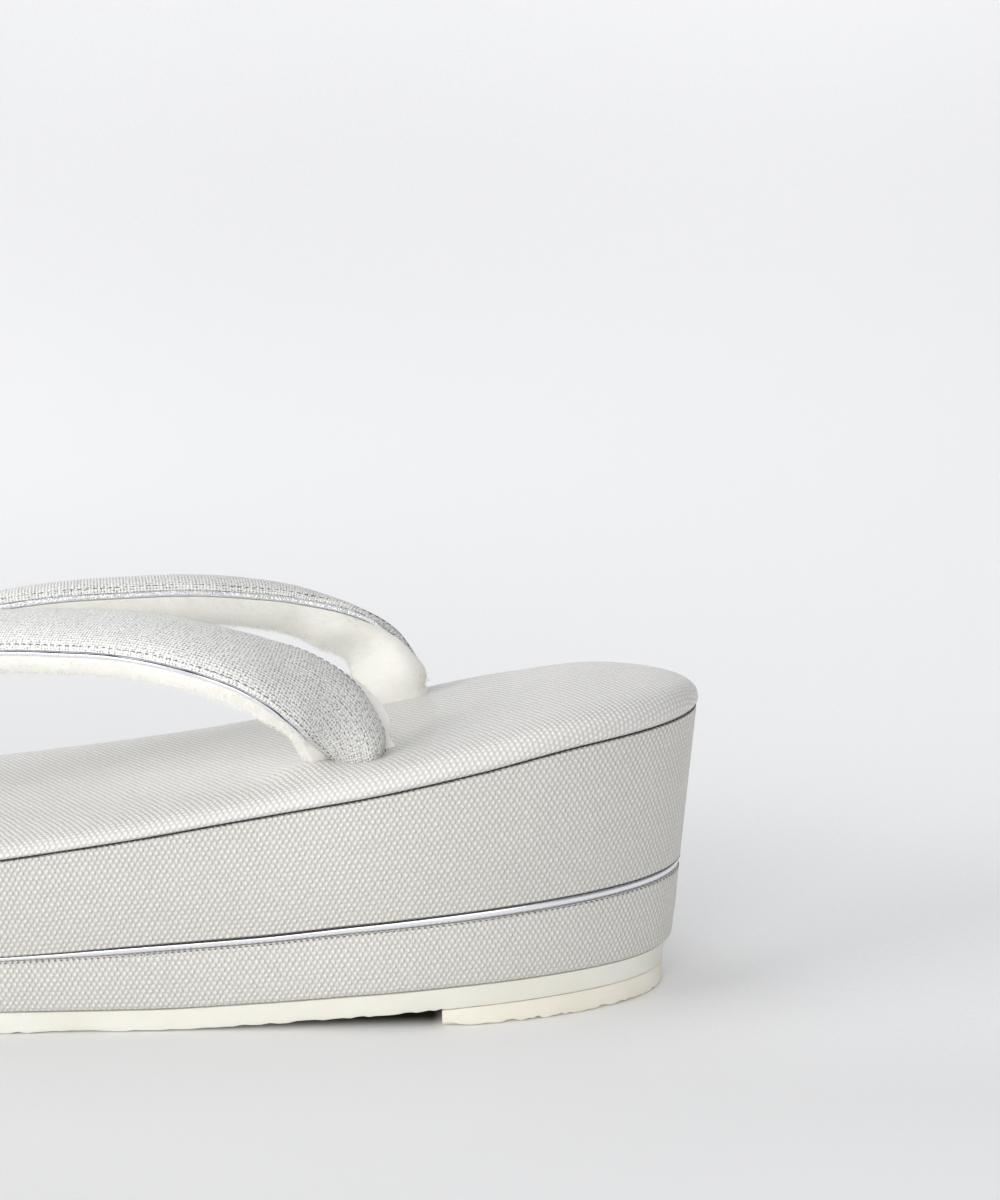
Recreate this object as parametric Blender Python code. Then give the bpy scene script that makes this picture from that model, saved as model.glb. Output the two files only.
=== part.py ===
"""Zori sandal: a padded seat on two cloth covered core layers with a silver
layer between them, a cream outsole with a heel lift, and a padded V strap
held at the front by a toe loop. Metres, heel end at +X, toe at -X, sole on Z = 0."""

import math

import bmesh
import bpy
from mathutils import Vector

MM = 0.001

# Overall plan of the sole
SOLE_LENGTH = 240.0 * MM
HEEL_HALF_WIDTH = 36.7 * MM
BALL_HALF_WIDTH = 41.0 * MM
HEEL_CAP_LENGTH = 64.2 * MM
TOE_CAP_LENGTH = 75.0 * MM
TOE_ROUNDNESS = 2.2
WALL_TAPER = 0.117

# Gap left between pieces that meet
GAP = 0.3 * MM

# Outsole and heel lift
OUTSOLE_THICKNESS = 4.4 * MM
OUTSOLE_INSET = 1.2 * MM
OUTSOLE_EDGE = 0.4 * MM
LIFT_LENGTH = 48.0 * MM
LIFT_INSET = 0.3 * MM

# Core layers
CORE_EDGE = 0.5 * MM
LOWER_CORE_ROUND = 1.4 * MM
LOWER_CORE_BULGE = 0.15 * MM
SILVER_RECESS = 0.35 * MM
SILVER_ROUND = 0.45 * MM

# Seat cushion
CUSHION_ROLL = 9.0 * MM
SPINE_INSET = 38.0 * MM

# Strap section, for a strap of the full width
FULL_STRAP_WIDTH = 18.0 * MM
COVER_RISE = 2.5 * MM
LINING_DROP = 6.9 * MM
THIN_SHARE = 0.45
SECTION_ROUNDNESS = 2.6
PIPING_RADIUS = 0.5 * MM
PIPING_DROP = 0.65 * MM
PIPING_INSET = 0.25 * MM
LINING_STEP = 1.5 * MM

# Toe loop
LOOP_WALL = 1.5 * MM
LOOP_HALF_WIDTH = 4.4 * MM
STEM_HALF_LENGTH = 4.3 * MM
STEM_HALF_WIDTH = 3.6 * MM
STEM_POCKET_DEPTH = 5.0 * MM

# Side profile of the sole, in millimetres, one row per station.
# Columns: distance from the heel end, height of the cushion seam, top of the
# silver layer, thickness of the silver layer, underside of the lower core,
# crown of the cushion above the seam
SIDE_PROFILE = (
    (0.0, 55.3, 25.2, 1.5, 9.0, 6.2),
    (20.0, 53.6, 24.3, 1.5, 8.9, 6.2),
    (40.0, 49.9, 23.1, 1.5, 8.4, 6.0),
    (60.0, 46.0, 21.4, 1.4, 7.2, 5.4),
    (80.0, 42.5, 19.2, 1.3, 5.7, 4.7),
    (104.0, 38.4, 17.5, 1.3, 4.7, 4.1),
    (126.0, 35.3, 16.1, 0.9, 4.7, 3.6),
    (155.0, 31.7, 15.0, 0.8, 4.7, 3.4),
    (185.0, 28.8, 14.2, 0.8, 4.7, 3.4),
    (212.0, 28.2, 14.9, 0.8, 6.0, 3.4),
    (240.0, 30.0, 17.3, 0.8, 9.2, 3.3),
)

# Edge roll of the cushion.
# Columns: inset from the sole outline in millimetres, share of the crown
CUSHION_EDGE = (
    (0.55, 0.0),
    (0.15, 0.05),
    (-0.3, 0.18),
    (-0.1, 0.36),
    (0.8, 0.55),
    (2.5, 0.71),
    (5.2, 0.82),
    (9.0, 0.89),
)

# Seat of the cushion inside the roll.
# Columns: share of the way to the centre line, share of the crown
CUSHION_SEAT = (
    (0.35, 0.95),
    (0.7, 0.99),
)

# Strap centre line of one side, from the buried end to the front bend.
# Columns, in millimetres: distance from the heel end, distance out from the
# middle, height above the cushion seam, width, and outward lean in degrees
STRAP_PATH = (
    (56.8, 26.4, -5.6, 12.8, 69.0),
    (61.0, 27.5, 3.7, 13.2, 67.0),
    (66.0, 28.9, 13.9, 15.6, 49.0),
    (72.8, 29.5, 21.7, 17.2, 27.0),
    (81.5, 29.1, 27.6, 17.8, 13.0),
    (92.0, 26.3, 32.0, 18.2, 9.0),
    (103.0, 22.9, 35.1, 18.4, 9.0),
    (115.0, 19.8, 37.0, 18.4, 9.5),
    (127.0, 17.2, 38.3, 18.0, 10.0),
    (139.0, 15.0, 38.5, 17.4, 11.0),
    (151.0, 13.2, 37.5, 16.4, 12.0),
    (162.0, 11.6, 34.9, 15.0, 13.0),
    (171.0, 10.1, 31.7, 13.2, 13.0),
    (177.0, 8.4, 28.9, 11.8, 13.0),
    (181.5, 5.2, 26.6, 10.6, 13.0),
    (183.5, 0.0, 25.8, 10.0, 13.0),
)

# Counts
CAP_STEPS = 13
SIDE_STEPS = 14
PATH_STEPS = 2
ARC_STEPS = 10
PIPING_SIDES = 6
LOOP_SIDES = 18
STEM_SIDES = 16


def clear_scene():
    for item in list(bpy.data.objects):
        bpy.data.objects.remove(item, do_unlink=True)


def make_material(name, colour, roughness, metallic):
    material = bpy.data.materials.new(name)
    material.use_nodes = True
    shader = material.node_tree.nodes["Principled BSDF"]
    shader.inputs["Base Color"].default_value = (*colour, 1.0)
    shader.inputs["Roughness"].default_value = roughness
    shader.inputs["Metallic"].default_value = metallic
    material.diffuse_color = (*colour, 1.0)
    return material


# Curves through the table rows
def slopes_of(xs, ys):
    steps = [(ys[i + 1] - ys[i]) / (xs[i + 1] - xs[i]) for i in range(len(xs) - 1)]
    slopes = [steps[0]]
    for before, after in zip(steps, steps[1:]):
        if before * after <= 0.0:
            slopes.append(0.0)
        else:
            slopes.append(2.0 * before * after / (before + after))
    slopes.append(steps[-1])
    return slopes


def smooth_column(rows, column):
    xs = [row[0] * MM for row in rows]
    ys = [row[column] * MM for row in rows]
    slopes = slopes_of(xs, ys)

    def value(x):
        x = min(max(x, xs[0]), xs[-1])
        i = 0
        while i < len(xs) - 2 and x > xs[i + 1]:
            i += 1
        span = xs[i + 1] - xs[i]
        t = (x - xs[i]) / span
        start = (1.0 + 2.0 * t) * (1.0 - t) ** 2 * ys[i] + t * (1.0 - t) ** 2 * span * slopes[i]
        end = t * t * (3.0 - 2.0 * t) * ys[i + 1] + t * t * (t - 1.0) * span * slopes[i + 1]
        return start + end

    return value


seam_height = smooth_column(SIDE_PROFILE, 1)
silver_top = smooth_column(SIDE_PROFILE, 2)
silver_thickness = smooth_column(SIDE_PROFILE, 3)
core_bottom = smooth_column(SIDE_PROFILE, 4)
cushion_crown = smooth_column(SIDE_PROFILE, 5)


def silver_bottom(from_heel):
    return silver_top(from_heel) - silver_thickness(from_heel)


def outsole_top(from_heel):
    return core_bottom(from_heel) - GAP


def tread_height(from_heel):
    return outsole_top(from_heel) - OUTSOLE_THICKNESS


# Plan outline, from the heel end round the near side to the toe and back
def half_outline():
    points = []
    for step in range(CAP_STEPS):
        angle = 0.5 * math.pi * step / CAP_STEPS
        along = HEEL_CAP_LENGTH * (1.0 - math.cos(angle))
        points.append((along, HEEL_HALF_WIDTH * math.sin(angle)))
    side_start = HEEL_CAP_LENGTH
    side_end = SOLE_LENGTH - TOE_CAP_LENGTH
    for step in range(SIDE_STEPS):
        t = step / SIDE_STEPS
        blend = t * t * (3.0 - 2.0 * t)
        half_width = HEEL_HALF_WIDTH + (BALL_HALF_WIDTH - HEEL_HALF_WIDTH) * blend
        points.append((side_start + (side_end - side_start) * t, half_width))
    power = 2.0 / TOE_ROUNDNESS
    for step in range(CAP_STEPS + 1):
        angle = 0.5 * math.pi * step / CAP_STEPS
        along = side_end + TOE_CAP_LENGTH * math.sin(angle) ** power
        points.append((along, BALL_HALF_WIDTH * max(math.cos(angle), 0.0) ** power))
    points[-1] = (SOLE_LENGTH, 0.0)
    return points


def full_outline():
    near = half_outline()
    ring = [(along, -out) for along, out in near]
    ring += [(along, out) for along, out in reversed(near[1:-1])]
    count = len(ring)
    outline = []
    for i, (along, out) in enumerate(ring):
        before = ring[i - 1]
        after = ring[(i + 1) % count]
        tangent = Vector((after[0] - before[0], after[1] - before[1])).normalized()
        outline.append((along, out, -tangent.y, tangent.x))
    return outline


OUTLINE = full_outline()


def place(from_heel, out, height):
    return Vector((0.5 * SOLE_LENGTH - from_heel, out, height))


def level_ring(inset_at, height_at):
    ring = []
    for along, out, along_normal, out_normal in OUTLINE:
        inset = inset_at(along)
        from_heel = along + along_normal * inset
        ring.append(place(from_heel, out + out_normal * inset, height_at(from_heel)))
    return ring


def wall_ring(height_at, extra):
    def inset_at(along):
        return WALL_TAPER * (seam_height(along) - height_at(along)) + extra

    return level_ring(inset_at, height_at)


def shifted(height_at, offset):
    return lambda from_heel: height_at(from_heel) + offset


# Solids
def finish_object(name, mesh_data, material):
    bmesh.ops.recalc_face_normals(mesh_data, faces=mesh_data.faces)
    mesh = bpy.data.meshes.new(name)
    mesh_data.to_mesh(mesh)
    mesh_data.free()
    item = bpy.data.objects.new(name, mesh)
    bpy.context.scene.collection.objects.link(item)
    mesh.materials.append(material)
    mesh.shade_smooth()
    mesh.set_sharp_from_angle(angle=math.radians(38.0))
    return item


def ladder_cap(mesh_data, verts):
    count = len(verts)
    half = count // 2
    mesh_data.faces.new((verts[0], verts[1], verts[-1]))
    for i in range(1, half - 1):
        mesh_data.faces.new((verts[i], verts[i + 1], verts[count - i - 1], verts[count - i]))
    mesh_data.faces.new((verts[half - 1], verts[half], verts[half + 1]))


def band(mesh_data, lower, upper):
    count = len(lower)
    for i in range(count):
        j = (i + 1) % count
        mesh_data.faces.new((lower[i], lower[j], upper[j], upper[i]))


def layered_mesh(rings):
    mesh_data = bmesh.new()
    levels = [[mesh_data.verts.new(point) for point in ring] for ring in rings]
    for lower, upper in zip(levels, levels[1:]):
        band(mesh_data, lower, upper)
    ladder_cap(mesh_data, levels[0])
    ladder_cap(mesh_data, levels[-1])
    return mesh_data


def swept_mesh(rings):
    mesh_data = bmesh.new()
    levels = [[mesh_data.verts.new(point) for point in ring] for ring in rings]
    for lower, upper in zip(levels, levels[1:]):
        band(mesh_data, lower, upper)
    mesh_data.faces.new(levels[0])
    mesh_data.faces.new(levels[-1])
    return mesh_data


def cut_away(item, cutter):
    modifier = item.modifiers.new("pocket " + cutter.name, "BOOLEAN")
    modifier.operation = "DIFFERENCE"
    modifier.solver = "EXACT"
    modifier.object = cutter


def hide_cutter(item):
    item.hide_render = True
    item.display_type = "WIRE"


# Sole layers
def build_outsole(material):
    rings = [
        wall_ring(tread_height, OUTSOLE_INSET + OUTSOLE_EDGE),
        wall_ring(shifted(tread_height, OUTSOLE_EDGE), OUTSOLE_INSET),
        wall_ring(shifted(outsole_top, -OUTSOLE_EDGE), OUTSOLE_INSET),
        wall_ring(outsole_top, OUTSOLE_INSET + 0.5 * OUTSOLE_EDGE),
    ]
    return finish_object("outsole", layered_mesh(rings), material)


def build_heel_lift(material):
    top = shifted(tread_height, -GAP)
    extra = OUTSOLE_INSET + LIFT_INSET

    def foot_inset(along):
        return WALL_TAPER * (seam_height(along) - tread_height(along)) + extra

    rings = [
        level_ring(foot_inset, lambda from_heel: 0.0),
        level_ring(foot_inset, lambda from_heel: max(top(from_heel), GAP)),
    ]
    mesh_data = layered_mesh(rings)
    front = place(LIFT_LENGTH, 0.0, 0.0)
    geometry = mesh_data.verts[:] + mesh_data.edges[:] + mesh_data.faces[:]
    bmesh.ops.bisect_plane(
        mesh_data,
        geom=geometry,
        plane_co=front,
        plane_no=Vector((-1.0, 0.0, 0.0)),
        clear_outer=True,
    )
    rim = [edge for edge in mesh_data.edges if edge.is_boundary]
    bmesh.ops.holes_fill(mesh_data, edges=rim)
    return finish_object("heel_lift", mesh_data, material)


def build_lower_core(material):
    top = shifted(silver_bottom, -GAP)

    def middle(from_heel):
        return 0.5 * (core_bottom(from_heel) + top(from_heel))

    rings = [
        wall_ring(core_bottom, LOWER_CORE_ROUND),
        wall_ring(shifted(core_bottom, 0.25 * LOWER_CORE_ROUND), 0.35 * LOWER_CORE_ROUND),
        wall_ring(shifted(core_bottom, LOWER_CORE_ROUND), 0.0),
        wall_ring(middle, -LOWER_CORE_BULGE),
        wall_ring(shifted(top, -CORE_EDGE), 0.0),
        wall_ring(top, CORE_EDGE),
    ]
    return finish_object("lower_core", layered_mesh(rings), material)


def build_silver_layer(material):
    def middle(from_heel):
        return 0.5 * (silver_bottom(from_heel) + silver_top(from_heel))

    rings = [
        wall_ring(silver_bottom, SILVER_RECESS + SILVER_ROUND),
        wall_ring(middle, SILVER_RECESS),
        wall_ring(silver_top, SILVER_RECESS + SILVER_ROUND),
    ]
    return finish_object("silver_layer", layered_mesh(rings), material)


def build_upper_core(material):
    bottom = shifted(silver_top, GAP)
    top = shifted(seam_height, -0.5 * GAP)
    rings = [
        wall_ring(bottom, CORE_EDGE),
        wall_ring(shifted(bottom, CORE_EDGE), 0.0),
        wall_ring(shifted(top, -CORE_EDGE), 0.0),
        wall_ring(top, CORE_EDGE),
    ]
    return finish_object("upper_core", layered_mesh(rings), material)


def cushion_height(share):
    def height_at(from_heel):
        return seam_height(from_heel) + 0.5 * GAP + share * cushion_crown(from_heel)

    return height_at


def seat_ring(toward_middle, share):
    height_at = cushion_height(share)
    ring = []
    for along, out, along_normal, out_normal in OUTLINE:
        edge_along = along + along_normal * CUSHION_ROLL
        edge_out = out + out_normal * CUSHION_ROLL
        spine = min(max(edge_along, SPINE_INSET), SOLE_LENGTH - SPINE_INSET)
        from_heel = edge_along + (spine - edge_along) * toward_middle
        ring.append(place(from_heel, edge_out * (1.0 - toward_middle), height_at(from_heel)))
    return ring


def build_cushion(material):
    rings = []
    for inset, share in CUSHION_EDGE:
        rings.append(level_ring(lambda along, inset=inset: inset * MM, cushion_height(share)))
    for toward_middle, share in CUSHION_SEAT:
        rings.append(seat_ring(toward_middle, share))
    return finish_object("seat_cushion", layered_mesh(rings), material)


# Strap frames along the path
def strap_nodes():
    nodes = []
    for from_heel, out, rise, width, lean in STRAP_PATH:
        height = seam_height(from_heel * MM) + rise * MM
        nodes.append((place(from_heel * MM, -out * MM, height), width * MM, math.radians(lean)))
    return nodes


def blend_four(a, b, c, d, t):
    first = -0.5 * t + t * t - 0.5 * t ** 3
    second = 1.0 - 2.5 * t * t + 1.5 * t ** 3
    third = 0.5 * t + 2.0 * t * t - 1.5 * t ** 3
    fourth = -0.5 * t * t + 0.5 * t ** 3
    return a * first + b * second + c * third + d * fourth


def slope_four(a, b, c, d, t):
    first = -0.5 + 2.0 * t - 1.5 * t * t
    second = -5.0 * t + 4.5 * t * t
    third = 0.5 + 4.0 * t - 4.5 * t * t
    fourth = -t + 1.5 * t * t
    return a * first + b * second + c * third + d * fourth


def mirrored(point):
    return Vector((point.x, -point.y, point.z))


def strap_frames():
    nodes = strap_nodes()
    lead = (2.0 * nodes[0][0] - nodes[1][0], nodes[0][1], nodes[0][2])
    tail = (mirrored(nodes[-2][0]), nodes[-2][1], nodes[-2][2])
    chain = [lead] + nodes + [tail]
    frames = []
    for i in range(len(nodes) - 1):
        quad = chain[i: i + 4]
        for step in range(PATH_STEPS):
            t = step / PATH_STEPS
            point = blend_four(*[node[0] for node in quad], t)
            tangent = slope_four(*[node[0] for node in quad], t).normalized()
            width = blend_four(*[node[1] for node in quad], t)
            lean = blend_four(*[node[2] for node in quad], t)
            frames.append(make_frame(point, tangent, width, lean))
    point, width, lean = nodes[-1]
    frames.append(make_frame(point, Vector((0.0, 1.0, 0.0)), width, lean))
    return frames


def make_frame(point, tangent, width, lean):
    up = Vector((0.0, 0.0, 1.0))
    upward = (up - tangent * up.dot(tangent)).normalized()
    outward = upward.cross(tangent)
    normal = upward * math.cos(lean) + outward * math.sin(lean)
    across = outward * math.cos(lean) - upward * math.sin(lean)
    return point, across, normal, width


def frame_ring(frame, section):
    point, across, normal, width = frame
    return [point + across * w + normal * n for w, n in section(0.5 * width)]


def both_sides(rings):
    far = [[mirrored(point) for point in ring] for ring in reversed(rings[:-1])]
    return rings + far


# Strap sections, in the plane across the strap
def rounded(angle, half_width, depth, power):
    w = math.copysign(abs(math.cos(angle)) ** power, math.cos(angle))
    n = math.copysign(abs(math.sin(angle)) ** power, math.sin(angle))
    return w * half_width, n * depth


def depth_share(half_width):
    return THIN_SHARE + (1.0 - THIN_SHARE) * 2.0 * half_width / FULL_STRAP_WIDTH


def cover_section(half_width):
    power = 2.0 / SECTION_ROUNDNESS
    rise = COVER_RISE * depth_share(half_width)
    points = []
    for step in range(ARC_STEPS + 1):
        w, n = rounded(math.pi * step / ARC_STEPS, half_width, rise - 0.5 * GAP, power)
        points.append((w, n + 0.5 * GAP))
    return points


def lining_section(half_width):
    power = 2.0 / SECTION_ROUNDNESS
    edge = half_width - 0.6 * MM
    drop = LINING_DROP * depth_share(half_width) - LINING_STEP
    points = []
    for step in range(ARC_STEPS - 1):
        w, n = rounded(-math.pi * step / (ARC_STEPS - 2), edge, drop, power)
        points.append((w, n - LINING_STEP))
    points.append((-half_width + 1.35 * MM, -LINING_STEP + 0.2 * MM))
    points.append((-half_width + 2.1 * MM, -0.5 * GAP))
    points.append((half_width - 2.1 * MM, -0.5 * GAP))
    points.append((half_width - 1.35 * MM, -LINING_STEP + 0.2 * MM))
    return points


def piping_section(side):
    def section(half_width):
        middle = side * (half_width - PIPING_INSET)
        points = []
        for step in range(PIPING_SIDES):
            angle = 2.0 * math.pi * (step + 0.5) / PIPING_SIDES
            w = middle + PIPING_RADIUS * math.cos(angle)
            points.append((w, PIPING_RADIUS * math.sin(angle) - PIPING_DROP))
        return points

    return section


def envelope_section(margin, sides):
    power = 2.0 / SECTION_ROUNDNESS

    def section(half_width):
        wide = half_width + PIPING_RADIUS - PIPING_INSET + margin
        share = depth_share(half_width)
        points = []
        for step in range(sides):
            angle = 2.0 * math.pi * step / sides
            depth = COVER_RISE if math.sin(angle) >= 0.0 else LINING_DROP
            points.append(rounded(angle, wide, depth * share + margin, power))
        return points

    return section


def build_strap_piece(name, frames, section, material):
    rings = both_sides([frame_ring(frame, section) for frame in frames])
    return finish_object(name, swept_mesh(rings), material)


def build_strap_cutter(name, frames, side, material):
    section = envelope_section(1.25 * GAP, 24)
    point, across, normal, width = frames[0]
    heading = (frames[1][0] - point).normalized()
    deeper = (point - heading * GAP, across, normal, width)
    rings = [frame_ring(frame, section) for frame in [deeper] + frames[:6]]
    if side > 0:
        rings = [[mirrored(spot) for spot in ring] for ring in rings]
    cutter = finish_object(name, swept_mesh(rings), material)
    hide_cutter(cutter)
    return cutter


# Toe loop round the front bend, with its stem into the sole.
# Columns: share of the loop's half width, share of its wall
LOOP_EDGE = (
    (1.0, 0.45),
    (0.9, 0.8),
    (0.6, 1.0),
    (0.0, 1.0),
)


def path_frame_at(frames, distance):
    walked = 0.0
    index = len(frames) - 1
    while index > 0:
        here = frames[index][0]
        there = frames[index - 1][0]
        step = (there - here).length
        if walked + step >= distance:
            t = (distance - walked) / step
            first = frames[index]
            second = frames[index - 1]
            mix = [first[k] * (1.0 - t) + second[k] * t for k in range(4)]
            return mix[0], mix[1].normalized(), mix[2].normalized(), mix[3]
        walked += step
        index -= 1
    return frames[0]


def build_toe_loop(frames, material):
    inner = envelope_section(GAP, LOOP_SIDES)
    inside = []
    outside = []
    for reach, swell in LOOP_EDGE:
        frame = path_frame_at(frames, LOOP_HALF_WIDTH * reach)
        inside.append(frame_ring(frame, inner))
        outside.append(frame_ring(frame, envelope_section(GAP + LOOP_WALL * swell, LOOP_SIDES)))
    inside = both_sides(inside)
    outside = both_sides(outside)
    mesh_data = bmesh.new()
    inner_levels = [[mesh_data.verts.new(point) for point in ring] for ring in inside]
    outer_levels = [[mesh_data.verts.new(point) for point in ring] for ring in outside]
    for levels in (inner_levels, outer_levels):
        for lower, upper in zip(levels, levels[1:]):
            band(mesh_data, lower, upper)
    band(mesh_data, inner_levels[0], outer_levels[0])
    band(mesh_data, inner_levels[-1], outer_levels[-1])
    return finish_object("toe_loop", mesh_data, material)


def stem_rings(frames, margin):
    point, across, normal, width = frames[-1]
    drop = LINING_DROP * depth_share(0.5 * width)
    top = point - normal * (drop + GAP + 0.45 * LOOP_WALL)
    from_heel = 0.5 * SOLE_LENGTH - top.x
    seat = seam_height(from_heel) + cushion_crown(from_heel)
    low = seam_height(from_heel) - STEM_POCKET_DEPTH
    levels = (
        (low - margin, 0.92, 0.0),
        (seat - 1.5 * MM, 1.0, 0.0),
        (seat + 0.3 * (top.z - seat), 0.94, 0.0),
        (seat + 0.7 * (top.z - seat), 0.97, 0.4),
        (top.z, 1.0, 1.0),
    )
    rings = []
    for height, swell, tilt in levels:
        ring = []
        for step in range(STEM_SIDES):
            angle = 2.0 * math.pi * step / STEM_SIDES
            forward, sideways = rounded(angle, 1.0, 1.0, 0.85)
            dx = forward * (STEM_HALF_LENGTH * swell + margin)
            dy = sideways * (STEM_HALF_WIDTH * swell + margin)
            lift = dx * across.z / across.x * tilt
            ring.append(Vector((top.x + dx, dy, height + lift)))
        rings.append(ring)
    return rings


def build_stem(frames, material):
    return finish_object("toe_stem", swept_mesh(stem_rings(frames, 0.0)), material)


def build_stem_cutter(frames, material):
    rings = stem_rings(frames, 1.1 * GAP)[:4]
    cutter = finish_object("cut_stem", swept_mesh(rings), material)
    hide_cutter(cutter)
    return cutter


def join_to(item, other):
    modifier = item.modifiers.new("stem", "BOOLEAN")
    modifier.operation = "UNION"
    modifier.solver = "EXACT"
    modifier.object = other


def build():
    clear_scene()
    canvas = make_material("pale_canvas", (0.70, 0.69, 0.67), 0.42, 0.0)
    silver = make_material("silver_trim", (0.78, 0.79, 0.82), 0.25, 0.9)
    rubber = make_material("cream_rubber", (0.86, 0.84, 0.74), 0.6, 0.0)
    lift = make_material("cream_lift", (0.84, 0.80, 0.69), 0.65, 0.0)
    brocade = make_material("silver_cloth", (0.76, 0.76, 0.75), 0.45, 0.15)
    velvet = make_material("ivory_velvet", (0.88, 0.86, 0.76), 0.95, 0.0)

    build_outsole(rubber)
    build_heel_lift(lift)
    build_lower_core(canvas)
    build_silver_layer(silver)
    upper_core = build_upper_core(canvas)
    cushion = build_cushion(canvas)

    frames = strap_frames()
    build_strap_piece("strap_cover", frames, cover_section, brocade)
    build_strap_piece("strap_lining", frames, lining_section, velvet)
    build_strap_piece("outer_piping", frames, piping_section(1.0), silver)
    build_strap_piece("inner_piping", frames, piping_section(-1.0), silver)

    loop = build_toe_loop(frames, brocade)
    stem = build_stem(frames, brocade)
    hide_cutter(stem)
    join_to(loop, stem)

    cutters = [
        build_strap_cutter("cut_near_strap", frames, -1, canvas),
        build_strap_cutter("cut_far_strap", frames, 1, canvas),
        build_stem_cutter(frames, canvas),
    ]
    for cutter in cutters:
        cut_away(cushion, cutter)
        cut_away(upper_core, cutter)


build()
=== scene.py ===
import math
import random

import bmesh
import bpy
from mathutils import Matrix, Vector, noise


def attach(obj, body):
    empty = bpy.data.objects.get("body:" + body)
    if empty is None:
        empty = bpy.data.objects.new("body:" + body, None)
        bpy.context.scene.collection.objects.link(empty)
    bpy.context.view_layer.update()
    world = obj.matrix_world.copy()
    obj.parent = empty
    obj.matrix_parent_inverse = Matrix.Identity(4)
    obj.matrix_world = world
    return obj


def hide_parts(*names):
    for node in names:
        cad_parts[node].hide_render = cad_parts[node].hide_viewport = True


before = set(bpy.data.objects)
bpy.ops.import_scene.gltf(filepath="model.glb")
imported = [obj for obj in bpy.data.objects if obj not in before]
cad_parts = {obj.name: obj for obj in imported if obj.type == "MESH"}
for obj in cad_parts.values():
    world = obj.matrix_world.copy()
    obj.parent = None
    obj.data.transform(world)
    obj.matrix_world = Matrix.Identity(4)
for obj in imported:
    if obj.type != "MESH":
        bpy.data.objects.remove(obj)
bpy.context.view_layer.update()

MM = 0.001
UP = Vector((0.0, 0.0, 1.0))

# Plan of the sole
SOLE_LENGTH = 240.0 * MM
HEEL_HALF_WIDTH = 36.7 * MM
BALL_HALF_WIDTH = 41.0 * MM
HEEL_CAP_LENGTH = 64.2 * MM
TOE_CAP_LENGTH = 75.0 * MM
TOE_ROUNDNESS = 2.2
WALL_TAPER = 0.117
CAP_STEPS = 84
SIDE_STEPS = 60

# Side profile of the sole, in millimetres, one row per station.
# Columns: distance from the heel end, height of the cushion seam, top of the
# silver layer, thickness of the silver layer, underside of the lower core,
# crown of the cushion above the seam
SIDE_PROFILE = (
    (0.0, 55.3, 25.2, 1.5, 9.0, 6.2),
    (20.0, 53.6, 24.3, 1.5, 8.9, 6.2),
    (40.0, 49.9, 23.1, 1.5, 8.4, 6.0),
    (60.0, 46.0, 21.4, 1.4, 7.2, 5.4),
    (80.0, 42.5, 19.2, 1.3, 5.7, 4.7),
    (104.0, 38.4, 17.5, 1.3, 4.7, 4.1),
    (126.0, 35.3, 16.1, 0.9, 4.7, 3.6),
    (155.0, 31.7, 15.0, 0.8, 4.7, 3.4),
    (185.0, 28.8, 14.2, 0.8, 4.7, 3.4),
    (212.0, 28.2, 14.9, 0.8, 6.0, 3.4),
    (240.0, 30.0, 17.3, 0.8, 9.2, 3.3),
)

# Outsole and heel lift
OUTSOLE_THICKNESS = 4.4 * MM
OUTSOLE_INSET = 1.2 * MM
LIFT_LENGTH = 47.3 * MM
LIFT_INSET = 0.15 * MM
LAYER_GAP = 0.3 * MM
CUT_ROUGHNESS = 0.5 * MM

# Section of the silver band: share of its thickness, inset in millimetres
SILVER_SECTION = (
    (0.0, 1.4), (0.03, 0.55), (0.12, 0.34), (0.35, 0.26),
    (0.65, 0.28), (0.86, 0.36), (0.97, 0.6), (1.0, 1.4),
)

# Dark line over the silver band: a dark cord put there as painted shade, where the wrapping's edge
# shades the band
LINE_RADIUS = 0.11 * MM
LINE_RISE = 0.17 * MM
LINE_INSET = 0.24 * MM
LINE_SWELL = 1.3
LINE_SWELL_PLACE = 80.0 * MM
LINE_SWELL_REACH = 38.0 * MM

# How far the wrapping covers the silver band toward the toe, and where it starts
BAND_COVER = 0.32 * MM
COVER_START = 85.0 * MM
COVER_REACH = 70.0 * MM

# Cushion
CUSHION_ROLL = 9.0 * MM
SPINE_INSET = 38.0 * MM
EDGE_FINENESS = 4
CROWN_STEPS = 15

# Places where the seat is drawn down, or puffed up where the depth is negative.
# Columns, in millimetres: distance from the heel end, distance from the middle
# with the far side positive, flat radius, reach, depth
SEAT_SINKS = (
    (61.5, -20.0, 4.0, 5.0, 0.55),
    (60.5, 26.5, 4.0, 6.0, 0.6),
    (183.5, 0.0, 4.0, 6.0, 0.6),
    (71.5, -24.5, 1.5, 6.5, -1.3),
)

# Edge roll of the cushion.
# Columns: inset from the sole outline in millimetres, share of the crown
CUSHION_EDGE = (
    (2.0, -0.02), (0.6, 0.0), (0.05, 0.06), (-0.28, 0.18), (-0.1, 0.36),
    (0.8, 0.55), (2.5, 0.71), (5.2, 0.82), (9.0, 0.89),
)

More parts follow.
